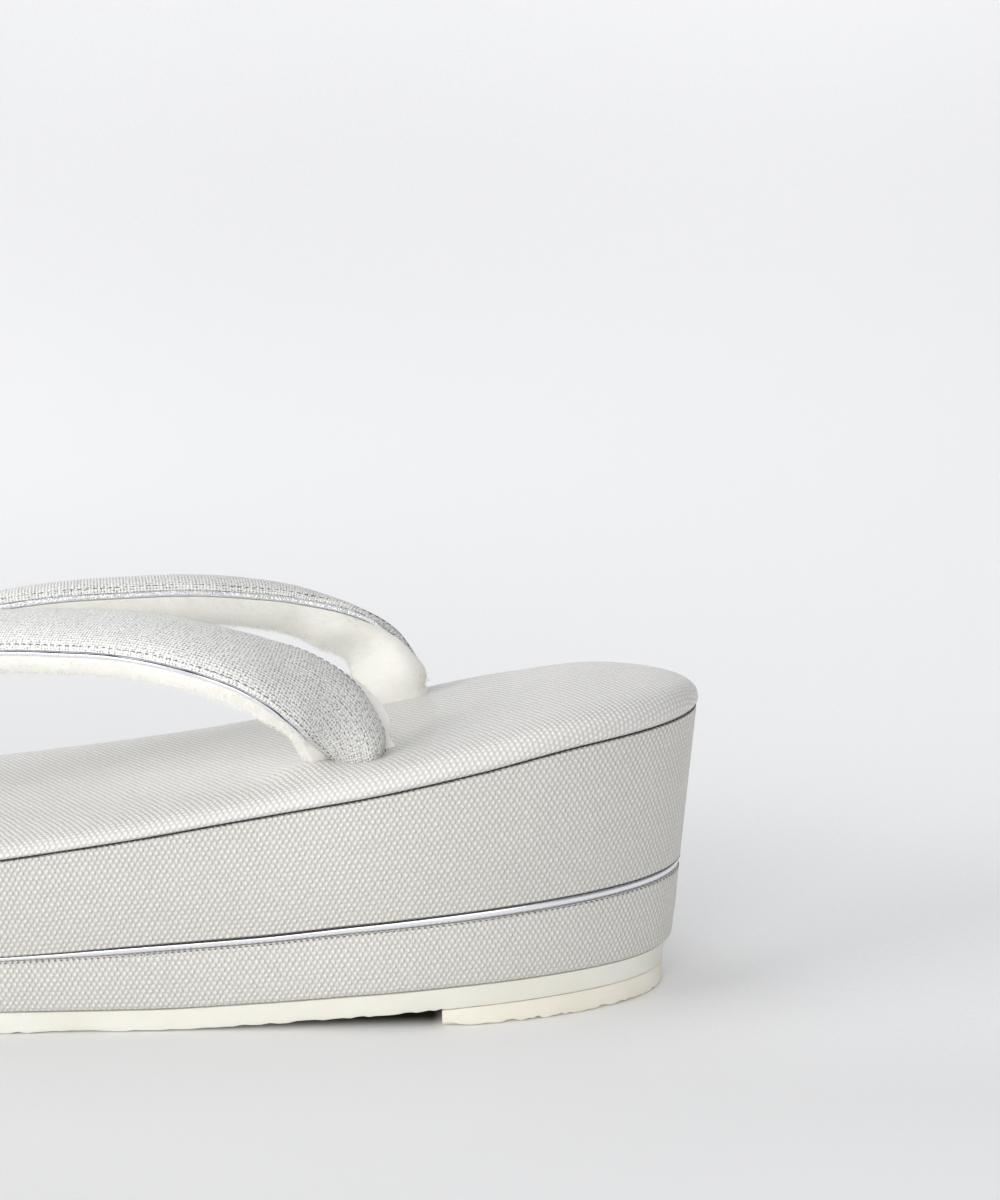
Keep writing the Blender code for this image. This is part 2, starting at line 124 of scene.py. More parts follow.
# Strap centre line of one side, from the buried end to the front bend.
# Columns, in millimetres: distance from the heel end, distance out from the
# middle, height above the cushion seam, width, and outward lean in degrees
STRAP_PATH = (
    (56.8, 26.4, -5.6, 12.8, 69.0),
    (61.0, 27.5, 3.7, 13.2, 67.0),
    (66.0, 28.9, 13.9, 15.6, 49.0),
    (72.8, 29.5, 21.7, 17.2, 27.0),
    (81.5, 29.1, 27.6, 17.8, 13.0),
    (92.0, 26.3, 32.0, 18.2, 9.0),
    (103.0, 22.9, 35.1, 18.4, 9.0),
    (115.0, 19.8, 37.0, 18.4, 9.5),
    (127.0, 17.2, 38.3, 18.0, 10.0),
    (139.0, 15.0, 38.5, 17.4, 11.0),
    (151.0, 13.2, 37.5, 16.4, 12.0),
    (162.0, 11.6, 34.9, 15.0, 13.0),
    (171.0, 10.1, 31.7, 13.2, 13.0),
    (177.0, 8.4, 28.9, 11.8, 13.0),
    (181.5, 5.2, 26.6, 10.6, 13.0),
    (183.5, 0.0, 25.8, 10.0, 13.0),
)
PATH_STEPS = 9

# How far each strap's root is set off the path, as hand fixing leaves it.
# One row per path row: toward the toe and toward the middle in millimetres,
# and further lean in degrees
NEAR_ROOT_SET = (
    (0.4, 8.0, 40.0), (0.3, 7.2, 38.0), (0.3, 4.8, 24.0), (0.2, 2.2, 10.0), (0.1, 0.8, 2.0),
)
FAR_ROOT_SET = (
    (-1.6, 0.8, 30.0), (-1.6, 0.8, 28.0), (-1.2, 0.5, 18.0), (-0.7, 0.2, 8.0), (-0.3, 0.0, 2.0),
)

# Strap section
FULL_STRAP_WIDTH = 18.0 * MM
COVER_RISE = 2.8 * MM
LINING_DROP = 6.9 * MM
THIN_SHARE = 0.45
SECTION_ROUNDNESS = 2.35
PIPING_RADIUS = 0.55 * MM
PIPING_DROP = 0.75 * MM
PIPING_INSET = 0.25 * MM
INNER_PIPING_DROP = 0.66 * MM
COVER_LIP = 0.5 * MM
LINING_SHELF = 1.35 * MM

# Strap section at the root, reached over a length measured from the buried end
ROOT_START = 10.0 * MM
ROOT_END = 28.0 * MM
ROOT_CONTACT = 11.2 * MM

# How the section is drawn in at the seat: length of the turn, share left.
# The toe side of the strap turns in sooner than the heel side.
COVER_TOE_TURN = (1.8 * MM, 0.9)
COVER_HEEL_TURN = (2.6 * MM, 0.76)
LINING_TOE_TURN = (2.6 * MM, 0.86)
LINING_HEEL_TURN = (4.2 * MM, 0.72)
ROOT_COVER_NARROWING = 0.18
ROOT_COVER_SWELL = 1.9
ROOT_LINING_SPREAD = 0.9 * MM
ROOT_LINING_POWER = 0.6
ROOT_COVER_SHIFT = (-0.1, -0.1)
ROOT_LINING_SHIFT = (0.1, -0.16)
FAR_BEND_NARROWING = 0.36
FAR_BEND_PLACE = 29.0 * MM
ROOT_TOE_SINK = 3.2 * MM

# How far the lining shows past the cover on the heel side of the near and the
# far root, and the distances from the buried end between which it comes out
LINING_SHOW = (1.3 * MM, 0.8 * MM)
SHOW_START = (36.0 * MM, 25.0 * MM)
SHOW_END = 14.0 * MM

# Folds of the lining inside the bend, by distance from the buried end
CREASE_PLACE = 23.0 * MM
CREASE_LENGTH = 5.8 * MM
CREASE_DEPTH = (0.4, 2.2)
PUFF_PLACE = 32.0 * MM
PUFF_LENGTH = 3.0 * MM
PUFF_HEIGHT = 0.5 * MM

# Band of the piping's cloth map that its painted shade and dark reflection take up, along the fold
# at its top
PIPING_PAINTED_SHADE = (0.64, 0.9)

# Toe loop
LOOP_WALL = 1.5 * MM
LOOP_HALF_WIDTH = 4.4 * MM
STEM_HALF_LENGTH = 4.3 * MM
STEM_HALF_WIDTH = 3.6 * MM
STEM_DEPTH = 2.5 * MM

# Pile of the lining
NAP_BLADES = 80000

# Cloth scales
PEARL_PITCH = 1.14 * MM
PEARL_ROW = 0.94 * MM
THREAD_PITCH = 0.62 * MM
LOOP_THREADS = 46.0
STEM_THREADS = 40.0

# Place of the strap's stitch row round its section, as a share of the half turn
STITCH_ANGLE = 0.095

# Stitches: pitch, length and radius
SEAM_STITCH = (1.15 * MM, 0.95 * MM, 0.1 * MM)
EDGE_STITCH = (1.15 * MM, 0.5 * MM, 0.13 * MM)
STRAP_STITCH = (1.5 * MM, 0.95 * MM, 0.1 * MM)

# Camera and lights
CAMERA_PLACE = (0.1322, -0.5495, 0.1871)
CAMERA_YAW = -5.15
CAMERA_PITCH = 11.42
CAMERA_ROLL = -1.27
CAMERA_LENS = 88.43
SENSOR = 36.0

# Backdrop
SWEEP_START = 0.4
SWEEP_LENGTH = 2.4
SWEEP_RISE = 1.4
SWEEP_STEPS = 60

# Lights: name, place, aim, size, power, tint
LIGHT_AIM = (0.02, 0.0, 0.03)
BACK_AIM = (-0.05, 2.6, 0.2)
LIGHTS = (
    ("key", (-1.45, -0.65, 0.5), LIGHT_AIM, (1.2, 0.9), 20.7, (1.0, 0.997, 0.99)),
    ("rim", (-1.3, 0.5, 0.7), LIGHT_AIM, (1.2, 0.9), 6.3, (1.0, 1.0, 1.0)),
    ("front", (0.2, -1.8, 0.7), LIGHT_AIM, (1.8, 1.2), 19.5, (1.0, 0.995, 0.985)),
    ("top", (0.1, 0.35, 1.8), LIGHT_AIM, (2.0, 1.6), 8.6, (0.99, 0.995, 1.0)),
    ("back", (-0.1, 1.2, 1.4), BACK_AIM, (3.0, 0.6), 21.0, (0.99, 0.99, 1.0)),
)
WORLD_STRENGTH = 0.29


# Curves
def smooth(value, low, high):
    """0 up to low, 1 from high on, and a soft change between them."""
    t = min(max((value - low) / (high - low), 0.0), 1.0)
    return t * t * (3.0 - 2.0 * t)


def slopes_of(xs, ys):
    steps = [(ys[i + 1] - ys[i]) / (xs[i + 1] - xs[i]) for i in range(len(xs) - 1)]
    slopes = [steps[0]]
    for before, after in zip(steps, steps[1:]):
        if before * after <= 0.0:
            slopes.append(0.0)
        else:
            slopes.append(2.0 * before * after / (before + after))
    slopes.append(steps[-1])
    return slopes


def curve_through(xs, ys):
    slopes = slopes_of(xs, ys)

    def value(x):
        x = min(max(x, xs[0]), xs[-1])
        i = 0
        while i < len(xs) - 2 and x > xs[i + 1]:
            i += 1
        span = xs[i + 1] - xs[i]
        t = (x - xs[i]) / span
        start = (1.0 + 2.0 * t) * (1.0 - t) ** 2 * ys[i] + t * (1.0 - t) ** 2 * span * slopes[i]
        end = t * t * (3.0 - 2.0 * t) * ys[i + 1] + t * t * (t - 1.0) * span * slopes[i + 1]
        return start + end

    return value


def profile_column(column):
    xs = [row[0] * MM for row in SIDE_PROFILE]
    ys = [row[column] * MM for row in SIDE_PROFILE]
    return curve_through(xs, ys)


seam_height = profile_column(1)
silver_top = profile_column(2)
silver_thickness = profile_column(3)
core_bottom = profile_column(4)
cushion_crown = profile_column(5)


def silver_bottom(from_heel):
    return silver_top(from_heel) - silver_thickness(from_heel)


def outsole_top(from_heel):
    return core_bottom(from_heel) - LAYER_GAP


def tread_height(from_heel):
    return outsole_top(from_heel) - OUTSOLE_THICKNESS


def shifted(height_at, offset):
    return lambda from_heel: height_at(from_heel) + offset


# Plan outline
def half_outline():
    points = []
    for step in range(CAP_STEPS):
        angle = 0.5 * math.pi * step / CAP_STEPS
        along = HEEL_CAP_LENGTH * (1.0 - math.cos(angle))
        points.append((along, HEEL_HALF_WIDTH * math.sin(angle)))
    side_start = HEEL_CAP_LENGTH
    side_end = SOLE_LENGTH - TOE_CAP_LENGTH
    for step in range(SIDE_STEPS):
        t = step / SIDE_STEPS
        half_width = HEEL_HALF_WIDTH + (BALL_HALF_WIDTH - HEEL_HALF_WIDTH) * smooth(t, 0.0, 1.0)
        points.append((side_start + (side_end - side_start) * t, half_width))
    power = 2.0 / TOE_ROUNDNESS
    for step in range(CAP_STEPS + 1):
        angle = 0.5 * math.pi * step / CAP_STEPS
        along = side_end + TOE_CAP_LENGTH * math.sin(angle) ** power
        points.append((along, BALL_HALF_WIDTH * max(math.cos(angle), 0.0) ** power))
    points[-1] = (SOLE_LENGTH, 0.0)
    return points


def full_outline():
    near = half_outline()
    ring = [(along, -out) for along, out in near]
    ring += [(along, out) for along, out in reversed(near[1:-1])]
    count = len(ring)
    outline = []
    walked = 0.0
    for i, (along, out) in enumerate(ring):
        before = ring[i - 1]
        after = ring[(i + 1) % count]
        tangent = Vector((after[0] - before[0], after[1] - before[1])).normalized()
        outline.append((along, out, -tangent.y, tangent.x, walked))
        walked += math.hypot(after[0] - along, after[1] - out)
    return outline, walked


OUTLINE, PERIMETER = full_outline()


def place(from_heel, out, height):
    return Vector((0.5 * SOLE_LENGTH - from_heel, out, height))


def level_ring(inset_at, height_at):
    ring = []
    for along, out, along_normal, out_normal, walked in OUTLINE:
        inset = inset_at(along)
        from_heel = along + along_normal * inset
        ring.append(place(from_heel, out + out_normal * inset, height_at(from_heel)))
    return ring


def wall_ring(height_at, extra):
    def inset_at(along):
        return WALL_TAPER * (seam_height(along) - height_at(along)) + extra

    return level_ring(inset_at, height_at)


def wall_rings(rows, extra=0.0):
    """One ring for each row of a height function, a rise and an inset in millimetres."""
    return [
        wall_ring(shifted(height_at, rise * MM), inset * MM + extra)
        for height_at, rise, inset in rows
    ]


# Mesh building
def linked(name, data):
    item = bpy.data.objects.new(name, data)
    bpy.context.scene.collection.objects.link(item)
    return item


def mesh_object(name, mesh_data, material):
    mesh = bpy.data.meshes.new(name)
    mesh_data.to_mesh(mesh)
    mesh_data.free()
    mesh.materials.append(material)
    return linked(name, mesh)


def smooth_object(name, mesh_data, material, sharp=50.0):
    bmesh.ops.recalc_face_normals(mesh_data, faces=mesh_data.faces)
    item = mesh_object(name, mesh_data, material)
    item.data.shade_smooth()
    item.data.set_sharp_from_angle(angle=math.radians(sharp))
    return item


def belongs(item, slot, *nodes, fill=None):
    """Attaches a piece to the root body and hides the solids it replaces; its slot and its padding
    are not used.
    """
    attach(item, "root")
    if nodes:
        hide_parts(*nodes)


def skin(mesh_data, rings):
    """Faces between each closed ring of vertices and the next."""
    for low, high in zip(rings, rings[1:]):
        for i in range(len(low)):
            j = (i + 1) % len(low)
            mesh_data.faces.new((low[i], low[j], high[j], high[i]))


def grid_faces(mesh_data, levels, cloth, uvs):
    """Faces between closed rings; each row of uvs ends with the spot that closes it."""
    for row in range(len(levels) - 1):
        low = levels[row]
        high = levels[row + 1]
        for i in range(len(low)):
            j = (i + 1) % len(low)
            face = mesh_data.faces.new((low[i], low[j], high[j], high[i]))
            spots = (uvs[row][i], uvs[row][i + 1], uvs[row + 1][i + 1], uvs[row + 1][i])
            for loop, spot in zip(face.loops, spots):
                loop[cloth].uv = spot


def lofted(rings, uvs):
    """A mesh through closed rings of points, with its cloth map and its vertices."""
    mesh_data = bmesh.new()
    cloth = mesh_data.loops.layers.uv.new("cloth")
    levels = [[mesh_data.verts.new(point) for point in ring] for ring in rings]
    grid_faces(mesh_data, levels, cloth, uvs)
    return mesh_data, cloth, levels


def closed_loft(rings, uvs):
    """A loft with a plain face over each end."""
    mesh_data, _, levels = lofted(rings, uvs)
    mesh_data.faces.new(levels[0])
    mesh_data.faces.new(levels[-1])
    return mesh_data


def flat_uv(point):
    return point.x / PEARL_PITCH, point.y / PEARL_ROW


def ladder_cap(mesh_data, verts, cloth):
    """Closes a ring by faces that reach across it."""
    count = len(verts)
    half = count // 2
    groups = [(0, 1, count - 1)]
    for i in range(1, half - 1):
        groups.append((i, i + 1, count - i - 1, count - i))
    groups.append((half - 1, half, half + 1))
    for group in groups:
        face = mesh_data.faces.new([verts[i] for i in group])
        for loop in face.loops:
            loop[cloth].uv = flat_uv(loop.vert.co)


def wall_uvs(rings):
    pearls = round(PERIMETER / PEARL_PITCH)
    around = [spot[4] / PERIMETER * pearls for spot in OUTLINE] + [pearls]
    heights = [0.0] * len(OUTLINE)
    uvs = []
    for row, ring in enumerate(rings):
        if row:
            for i, point in enumerate(ring):
                heights[i] += (point - rings[row - 1][i]).length
        uvs.append([(u, height / PEARL_ROW) for u, height in zip(around, heights + heights[:1])])
    return uvs


def capped(rings, uvs):
    mesh_data, cloth, levels = lofted(rings, uvs)
    ladder_cap(mesh_data, levels[0], cloth)
    ladder_cap(mesh_data, levels[-1], cloth)
    return mesh_data


def layer_mesh(rings):
    return capped(rings, wall_uvs(rings))


# Node materials
class Nodes:
    def __init__(self, name):
        self.material = bpy.data.materials.new(name)
        self.material.use_nodes = True
        self.tree = self.material.node_tree
        self.shader = self.tree.nodes["Principled BSDF"]

    def feed(self, socket, value):
        if isinstance(value, bpy.types.NodeSocket):
            self.tree.links.new(value, socket)
        else:
            socket.default_value = value

    def add(self, kind, result, feeds, **settings):
        """Adds a node and returns one of its outputs; feeds go by socket name or number."""
        node = self.tree.nodes.new(kind)
        for key, value in settings.items():
            setattr(node, key, value)
        for key, value in feeds.items():
            self.feed(node.inputs[key], value)
        return node.outputs[result]

    def sum(self, operation, *values):
        return self.add("ShaderNodeMath", 0, dict(enumerate(values)), operation=operation)

    def product(self, *values):
        result = values[0]
        for value in values[1:]:
            result = self.sum("MULTIPLY", result, value)
        return result

    def vector(self, operation, *values):
        result = "Value" if operation == "LENGTH" else "Vector"
        feeds = dict(enumerate(values))
        return self.add("ShaderNodeVectorMath", result, feeds, operation=operation)

    def ramp(self, value, low, high, to_low=0.0, to_high=1.0, kind="SMOOTHSTEP"):
        feeds = {"Value": value, "From Min": low, "From Max": high}
        feeds.update({"To Min": to_low, "To Max": to_high})
        return self.add("ShaderNodeMapRange", "Result", feeds, interpolation_type=kind)

    def mix(self, factor, first, second):
        feeds = {"Factor": factor, "A": first, "B": second}
        return self.add("ShaderNodeMix", "Result", feeds, data_type="RGBA")

    def noise(self, coordinates, scale, detail=3.0, roughness=0.5, result="Fac"):
        feeds = {"Vector": coordinates, "Scale": scale, "Detail": detail, "Roughness": roughness}
        return self.add("ShaderNodeTexNoise", result, feeds)

    def place(self):
        return self.add("ShaderNodeTexCoord", "Object", {})

    def cloth(self):
        return self.add("ShaderNodeUVMap", "UV", {}, uv_map="cloth")

    def split(self, coordinates):
        """The X and the Y of a vector."""
        across = self.add("ShaderNodeSeparateXYZ", "X", {0: coordinates})
        return across, across.node.outputs["Y"]

    def bump(self, height, distance, strength=1.0):
        feeds = {"Height": height, "Distance": distance, "Strength": strength}
        return self.add("ShaderNodeBump", "Normal", feeds)

    def set(self, **values):
        for key, value in values.items():
            self.feed(self.shader.inputs[key.replace("_", " ")], value)

    def dots(self, coordinates, scale, shift, radii):
        """Height of one lattice of oval bumps, 1 in the middle of each and 0 outside it."""
        spot = self.vector("ADD", self.vector("MULTIPLY", coordinates, scale), shift)
        spot = self.vector("SUBTRACT", self.vector("FRACTION", spot), (0.5, 0.5, 0.0))
        spot = self.vector("MULTIPLY", spot, (1.0 / radii[0], 1.0 / radii[1], 0.0))
        return self.ramp(self.vector("LENGTH", spot), 1.0, 0.1)

    def lattice(self, coordinates, scale, shifts, radii):
        """Two lattices of oval bumps set into each other."""
        first, second = [self.dots(coordinates, scale, shift, radii) for shift in shifts]
        return self.sum("MAXIMUM", first, second)


def colour(red, green, blue):
    return (red, green, blue, 1.0)


def canvas_material(name, tone, relief):
    """Pale cloth with a lattice of raised glossy pearls, every other row shifted by half."""
    n = Nodes(name)
    uv = n.cloth()
    drift = n.vector("SUBTRACT", n.noise(uv, 0.3, 1.0, result="Color"), (0.5, 0.5, 0.5))
    uv = n.vector("ADD", uv, n.vector("MULTIPLY", drift, (0.5, 0.6, 0.0)))
    pearl = n.lattice(uv, (1.0, 0.5, 0.0), ((0.0, 0.0, 0.0), (0.5, 0.5, 0.0)), (0.47, 0.37))
    grain = n.noise(n.place(), 3800.0, 2.0)
    patch = n.noise(n.place(), 38.0, 2.0)
    uneven = n.noise(uv, 0.9, 1.0)
    raised_by = n.product(pearl, n.ramp(uneven, 0.3, 0.7, 0.75, 1.1))
    # Painted shade: the ground between the raised pearls is painted darker, standing in for the
    # shade in the hollows between them.
    ground = n.mix(patch, colour(0.575, 0.555, 0.515), colour(0.62, 0.60, 0.56))
    raised = n.mix(patch, colour(0.75, 0.735, 0.695), colour(0.79, 0.775, 0.735))
    raised = n.mix(n.ramp(uneven, 0.35, 0.65), raised, colour(0.85, 0.835, 0.80))
    n.set(
        Base_Color=n.vector("MULTIPLY", n.mix(pearl, ground, raised), tone),
        Roughness=n.ramp(pearl, 0.0, 1.0, 0.65, 0.3, "LINEAR"),
        Normal=n.bump(n.sum("MULTIPLY_ADD", grain, 0.25, raised_by), relief),
        Coat_Weight=0.35, Coat_Roughness=0.2, Sheen_Weight=0.1,
    )
    return n.material


def both_ends(n, along, low, high, at_ends=1.0):
    """at_ends near both ends of the strap's cloth map, and 1 - at_ends between them."""
    threads = WALKED[-1] / THREAD_PITCH
    near_end = n.ramp(along, low, high, at_ends, 1.0 - at_ends)
    far_end = n.ramp(along, threads - high, threads - low, 1.0 - at_ends, at_ends)
    return near_end, far_end


def cloth_of_silver_material():
    """Plain weave of white and silver threads, with rows of dark pin dots."""
    n = Nodes("silver_weave")
    uv = n.cloth()
    half = (0.5, 0.5, 0.0)
    weft = n.lattice(uv, half, ((0.0, 0.0, 0.0), half), (0.36, 0.24))
    warp = n.lattice(uv, half, ((0.5, 0.0, 0.0), (0.0, 0.5, 0.0)), (0.24, 0.36))
    thread = n.sum("MAXIMUM", weft, warp)
    slub = n.noise(n.vector("MULTIPLY", uv, (0.08, 1.0, 0.0)), 1.1)
    fleck = n.noise(uv, 0.9, 2.0)
    worn = n.ramp(n.noise(uv, 0.13, 1.0), 0.42, 0.58)
    lengthwise = n.dots(uv, (0.5, 0.3846, 0.0), (0.0, 0.2, 0.0), (0.2, 0.13))
    crosswise = n.dots(uv, (0.111, 0.5, 0.0), (0.3, 0.0, 0.0), (0.035, 0.18))
    at_root = n.sum("MAXIMUM", *both_ends(n, n.split(uv)[0], 36.0, 52.0))
    sparse = n.ramp(n.noise(uv, 0.09, 1.0), 0.5, 0.56)
    dark = n.sum("MAXIMUM", n.product(crosswise, sparse), n.product(lengthwise, at_root))
    single = n.noise(n.vector("ADD", uv, (17.3, 5.1, 0.0)), 1.7, 1.0)
    # Painted shade: the gaps between the threads are painted darker than the threads, nearly black
    # in random patches.
    shaded_gaps = n.ramp(n.noise(n.vector("ADD", uv, (3.7, 9.4, 0.0)), 1.3, 1.0), 0.42, 0.56)
    gap = n.mix(worn, colour(0.76, 0.75, 0.73), colour(0.86, 0.85, 0.83))
    gap = n.mix(shaded_gaps, colour(0.27, 0.267, 0.26), gap)
    lit = n.mix(n.ramp(single, 0.3, 0.55), colour(0.88, 0.875, 0.85), colour(1.0, 0.995, 0.975))
    base = n.mix(n.ramp(thread, 0.0, 0.4), gap, lit)
    base = n.mix(n.ramp(fleck, 0.6, 0.74), base, colour(1.0, 1.0, 0.99))
    base = n.mix(n.ramp(slub, 0.68, 0.88, 0.0, 0.2), base, colour(0.66, 0.66, 0.66))
    # Painted shade: the cloth is painted darker near the strap's roots, where it turns away from
    # the light.
    base = n.mix(n.product(at_root, 0.3), base, colour(0.52, 0.51, 0.49))
    n.set(
        Base_Color=n.mix(dark, base, colour(0.08, 0.08, 0.09)),
        Metallic=n.ramp(fleck, 0.55, 0.75, 0.0, 0.2),
        Roughness=n.ramp(fleck, 0.45, 0.65, 0.55, 0.3),
        Normal=n.bump(n.sum("SUBTRACT", thread, dark), 0.16 * MM),
        Sheen_Weight=0.15,
    )
    return n.material


def foil_material(name, fold=None, crush=0.0):
    """Silver foil; where fold is given, a dark line of painted shade and dark reflection runs
    along that band of the cloth map.

    The crush is the depth of the fine creases in metres.
    """
    n = Nodes(name)
    scuff = n.noise(n.vector("MULTIPLY", n.place(), (60.0, 60.0, 900.0)), 1.0, 3.0)
    base = n.mix(scuff, colour(0.86, 0.87, 0.90), colour(0.94, 0.94, 0.97))
    creased = n.noise(n.place(), 1900.0, 2.0, 0.7)
    relief = n.sum("MULTIPLY_ADD", creased, crush / MM, n.product(scuff, 0.015))
    dark = 0.0
    # Painted shade and dark reflection: a dark band along the top of the piping, away from the
    # strap's ends.
    if fold:
        uv = n.cloth()
        along, around = n.split(uv)
        drift = n.noise(n.vector("MULTIPLY", uv, (0.06, 0.0, 0.0)), 1.0, 2.0)
        swell = n.noise(n.vector("MULTIPLY", uv, (0.11, 0.0, 0.0)), 1.0, 1.0)
        band = n.sum("MULTIPLY_ADD", drift, 0.5, around)
        low = n.sum("MULTIPLY_ADD", swell, -0.9, n.sum("ADD", band, 0.45))
        start = n.ramp(band, fold[0] + 0.15, fold[0] + 0.22)
        stop = n.ramp(low, fold[1] + 0.2, fold[1] + 0.3, 1.0, 0.0)
        dark = n.product(start, stop, *both_ends(n, along, 39.0, 46.0, 0.0))
        base = n.mix(dark, base, colour(0.02, 0.022, 0.04))
    n.set(
        Base_Color=base,
        Metallic=n.sum("MULTIPLY_ADD", dark, -0.8, 0.8),
        Roughness=n.ramp(scuff, 0.3, 0.7, 0.2, 0.34, "LINEAR"),
        Normal=n.bump(relief, 1.0 * MM),
    )
    return n.material


def velvet_material():
    n = Nodes("ivory_velvet")
    spot = n.place()
    nap = n.noise(spot, 2600.0, 3.0, 0.6)
    brushed = n.noise(spot, 140.0, 2.0)
    n.set(
        Base_Color=n.mix(brushed, colour(0.925, 0.91, 0.85), colour(0.965, 0.955, 0.915)),
        Roughness=n.ramp(nap, 0.3, 0.7, 0.85, 1.0, "LINEAR"),
        Normal=n.bump(nap, 0.25 * MM, 0.6),
        Sheen_Weight=0.7, Sheen_Roughness=0.4,
        Subsurface_Weight=0.15, Subsurface_Scale=0.8 * MM,
    )
    return n.material


def rubber_material(name, light, dark, pore_depth):
    n = Nodes(name)
    spot = n.place()
    pores = n.noise(spot, 1700.0, 3.0, 0.6)
    stain = n.noise(spot, 55.0, 3.0)
    scuffs = n.noise(n.vector("MULTIPLY", spot, (1.0, 1.0, 6.0)), 260.0, 4.0, 0.65)
    base = n.mix(n.ramp(stain, 0.35, 0.7), light, dark)
    base = n.mix(n.ramp(scuffs, 0.62, 0.8, 0.0, 0.35), base, dark)
    n.set(
        Base_Color=base,
        Roughness=n.ramp(pores, 0.3, 0.7, 0.5, 0.72, "LINEAR"),
        Normal=n.bump(n.sum("MULTIPLY_ADD", scuffs, 0.8, pores), pore_depth, 0.5),
        Subsurface_Weight=0.06, Subsurface_Scale=1.0 * MM,
    )
    return n.material


def thread_material(name, tone):
    n = Nodes(name)
    twist = n.noise(n.place(), 6000.0, 2.0)
    dull = colour(tone[0] * 0.7, tone[1] * 0.7, tone[2] * 0.7)
    n.set(
        Base_Color=n.mix(twist, dull, colour(*tone)),
        Roughness=n.ramp(twist, 0.3, 0.7, 0.6, 0.8, "LINEAR"),
        Normal=n.bump(twist, 0.04 * MM, 0.5),
    )
    return n.material


def backdrop_material():
    """Pale paper with painted light and shade: its tone is painted lighter and darker by place,
    and a painted shadow darkens the narrow gap under the sole.
    """
    n = Nodes("paper_backdrop")
    x, y = n.split(n.place())
    # Painted light and shade: the paper's tone is painted darker toward the camera, far up the
    # sweep and to the left, most strongly near the sandal.
    away = n.product(n.ramp(y, -0.07, -0.01, 0.855, 0.955), n.ramp(y, 0.35, 1.5, 1.0, 0.72))
    painted_side_shade = n.ramp(x, -0.2, 0.24, -0.15, 0.03)
    nearby = n.ramp(y, -0.1, 0.7, 1.1, 0.3)
    tone = n.product(away, n.sum("MULTIPLY_ADD", painted_side_shade, nearby, 1.0))
    base = n.mix(tone, colour(0.0, 0.0, 0.0), colour(1.0, 1.0, 1.006))
    tooth = n.ramp(n.noise(n.place(), 900.0), 0.4, 0.8, 0.0, 0.3)
    base = n.mix(tooth, base, colour(0.84, 0.84, 0.845))
    # Painted shadow: the floor is painted nearly black in the narrow gap under the sole, in front
    # of the heel lift, standing in for the contact shadow there.
    foot_line = n.ramp(x, -0.05, 0.072, 0.0365, 0.0297, "LINEAR")
    inside = n.ramp(n.sum("SUBTRACT", foot_line, n.sum("ABSOLUTE", y)), 0.0, 0.008)
    ahead = n.ramp(x, -0.06, -0.02)
    behind = n.ramp(x, 0.070, 0.073, 1.0, 0.0)
    n.set(
        Base_Color=n.mix(n.product(inside, ahead, behind), base, colour(0.05, 0.045, 0.03)),
        Roughness=0.9,
        Specular_IOR_Level=0.2,
    )
    return n.material


# Sole layers
def ragged(ring, seed, amount, clean_before=0.0):
    """Moves the points of a cut edge a little, as a hand-cut edge wanders.

    The edge nearer the heel than clean_before stays nearly straight.
    """
    moved = []
    for point in ring:
        spot = Vector((point.x * 160.0, point.y * 160.0, seed))
        fine = Vector((point.x * 1300.0, point.y * 1300.0, seed + 7.0))
        wander = noise.noise(spot) + 0.8 * noise.noise(fine)
        clean = 0.15 if 0.5 * SOLE_LENGTH - point.x < clean_before else 1.0
        moved.append(point + Vector((0.0, 0.0, clean * amount * abs(wander))))
    return moved


def ragged_foot(rings, *look):
    """Makes the two rings at the foot of a wall ragged."""
    return rings[:1] + [ragged(ring, *look) for ring in rings[1:3]] + rings[3:]


def build_outsole(material):
    rings = wall_rings((
        (tread_height, 0.0, 1.5),
        (tread_height, 0.1, 0.1),
        (tread_height, 0.3, 0.02),
        (tread_height, 1.4, 0.0),
        (outsole_top, -0.7, 0.0),
        (outsole_top, -0.105, 0.05),
        (outsole_top, 0.0, 0.3),
    ), OUTSOLE_INSET)
    rings = ragged_foot(rings, 1.0, CUT_ROUGHNESS, LIFT_LENGTH)
    belongs(smooth_object("outsole_sheet", layer_mesh(rings), material), "cream_rubber", "outsole")


def build_heel_lift(material):
    top = shifted(tread_height, -0.1 * MM)

    def foot_ring(height_at, more):
        def inset_at(along):
            taper = WALL_TAPER * (seam_height(along) - tread_height(along))
            return taper + OUTSOLE_INSET + LIFT_INSET + more * MM

        return level_ring(inset_at, height_at)

    def flat_ring(height, more):
        return foot_ring(lambda from_heel: height * MM, more)

    def top_ring(drop, least, more):
        return foot_ring(lambda from_heel: max(top(from_heel) - drop * MM, least * MM), more)

    rings = [flat_ring(0.0, 1.5), flat_ring(0.1, 0.1), flat_ring(0.3, 0.02), flat_ring(1.3, 0.0)]
    rings += [top_ring(0.3, 1.5, 0.0), top_ring(0.0, 1.7, 0.15)]
    mesh_data = layer_mesh(ragged_foot(rings, 3.0, 1.6 * CUT_ROUGHNESS))
    bmesh.ops.bisect_plane(
        mesh_data,
        geom=mesh_data.verts[:] + mesh_data.edges[:] + mesh_data.faces[:],
        plane_co=place(LIFT_LENGTH, 0.0, 0.0),
        plane_no=Vector((-1.0, 0.0, 0.0)),
        clear_outer=True,
    )
    rim = [edge for edge in mesh_data.edges if edge.is_boundary]
    bmesh.ops.holes_fill(mesh_data, edges=rim)
    belongs(smooth_object("heel_lift_sheet", mesh_data, material), "cream_lift", "heel_lift")


def band_cover(from_heel):
    """How far the wrapping comes over the silver band, above and below."""
    return BAND_COVER * smooth(from_heel, COVER_START, COVER_START + COVER_REACH)


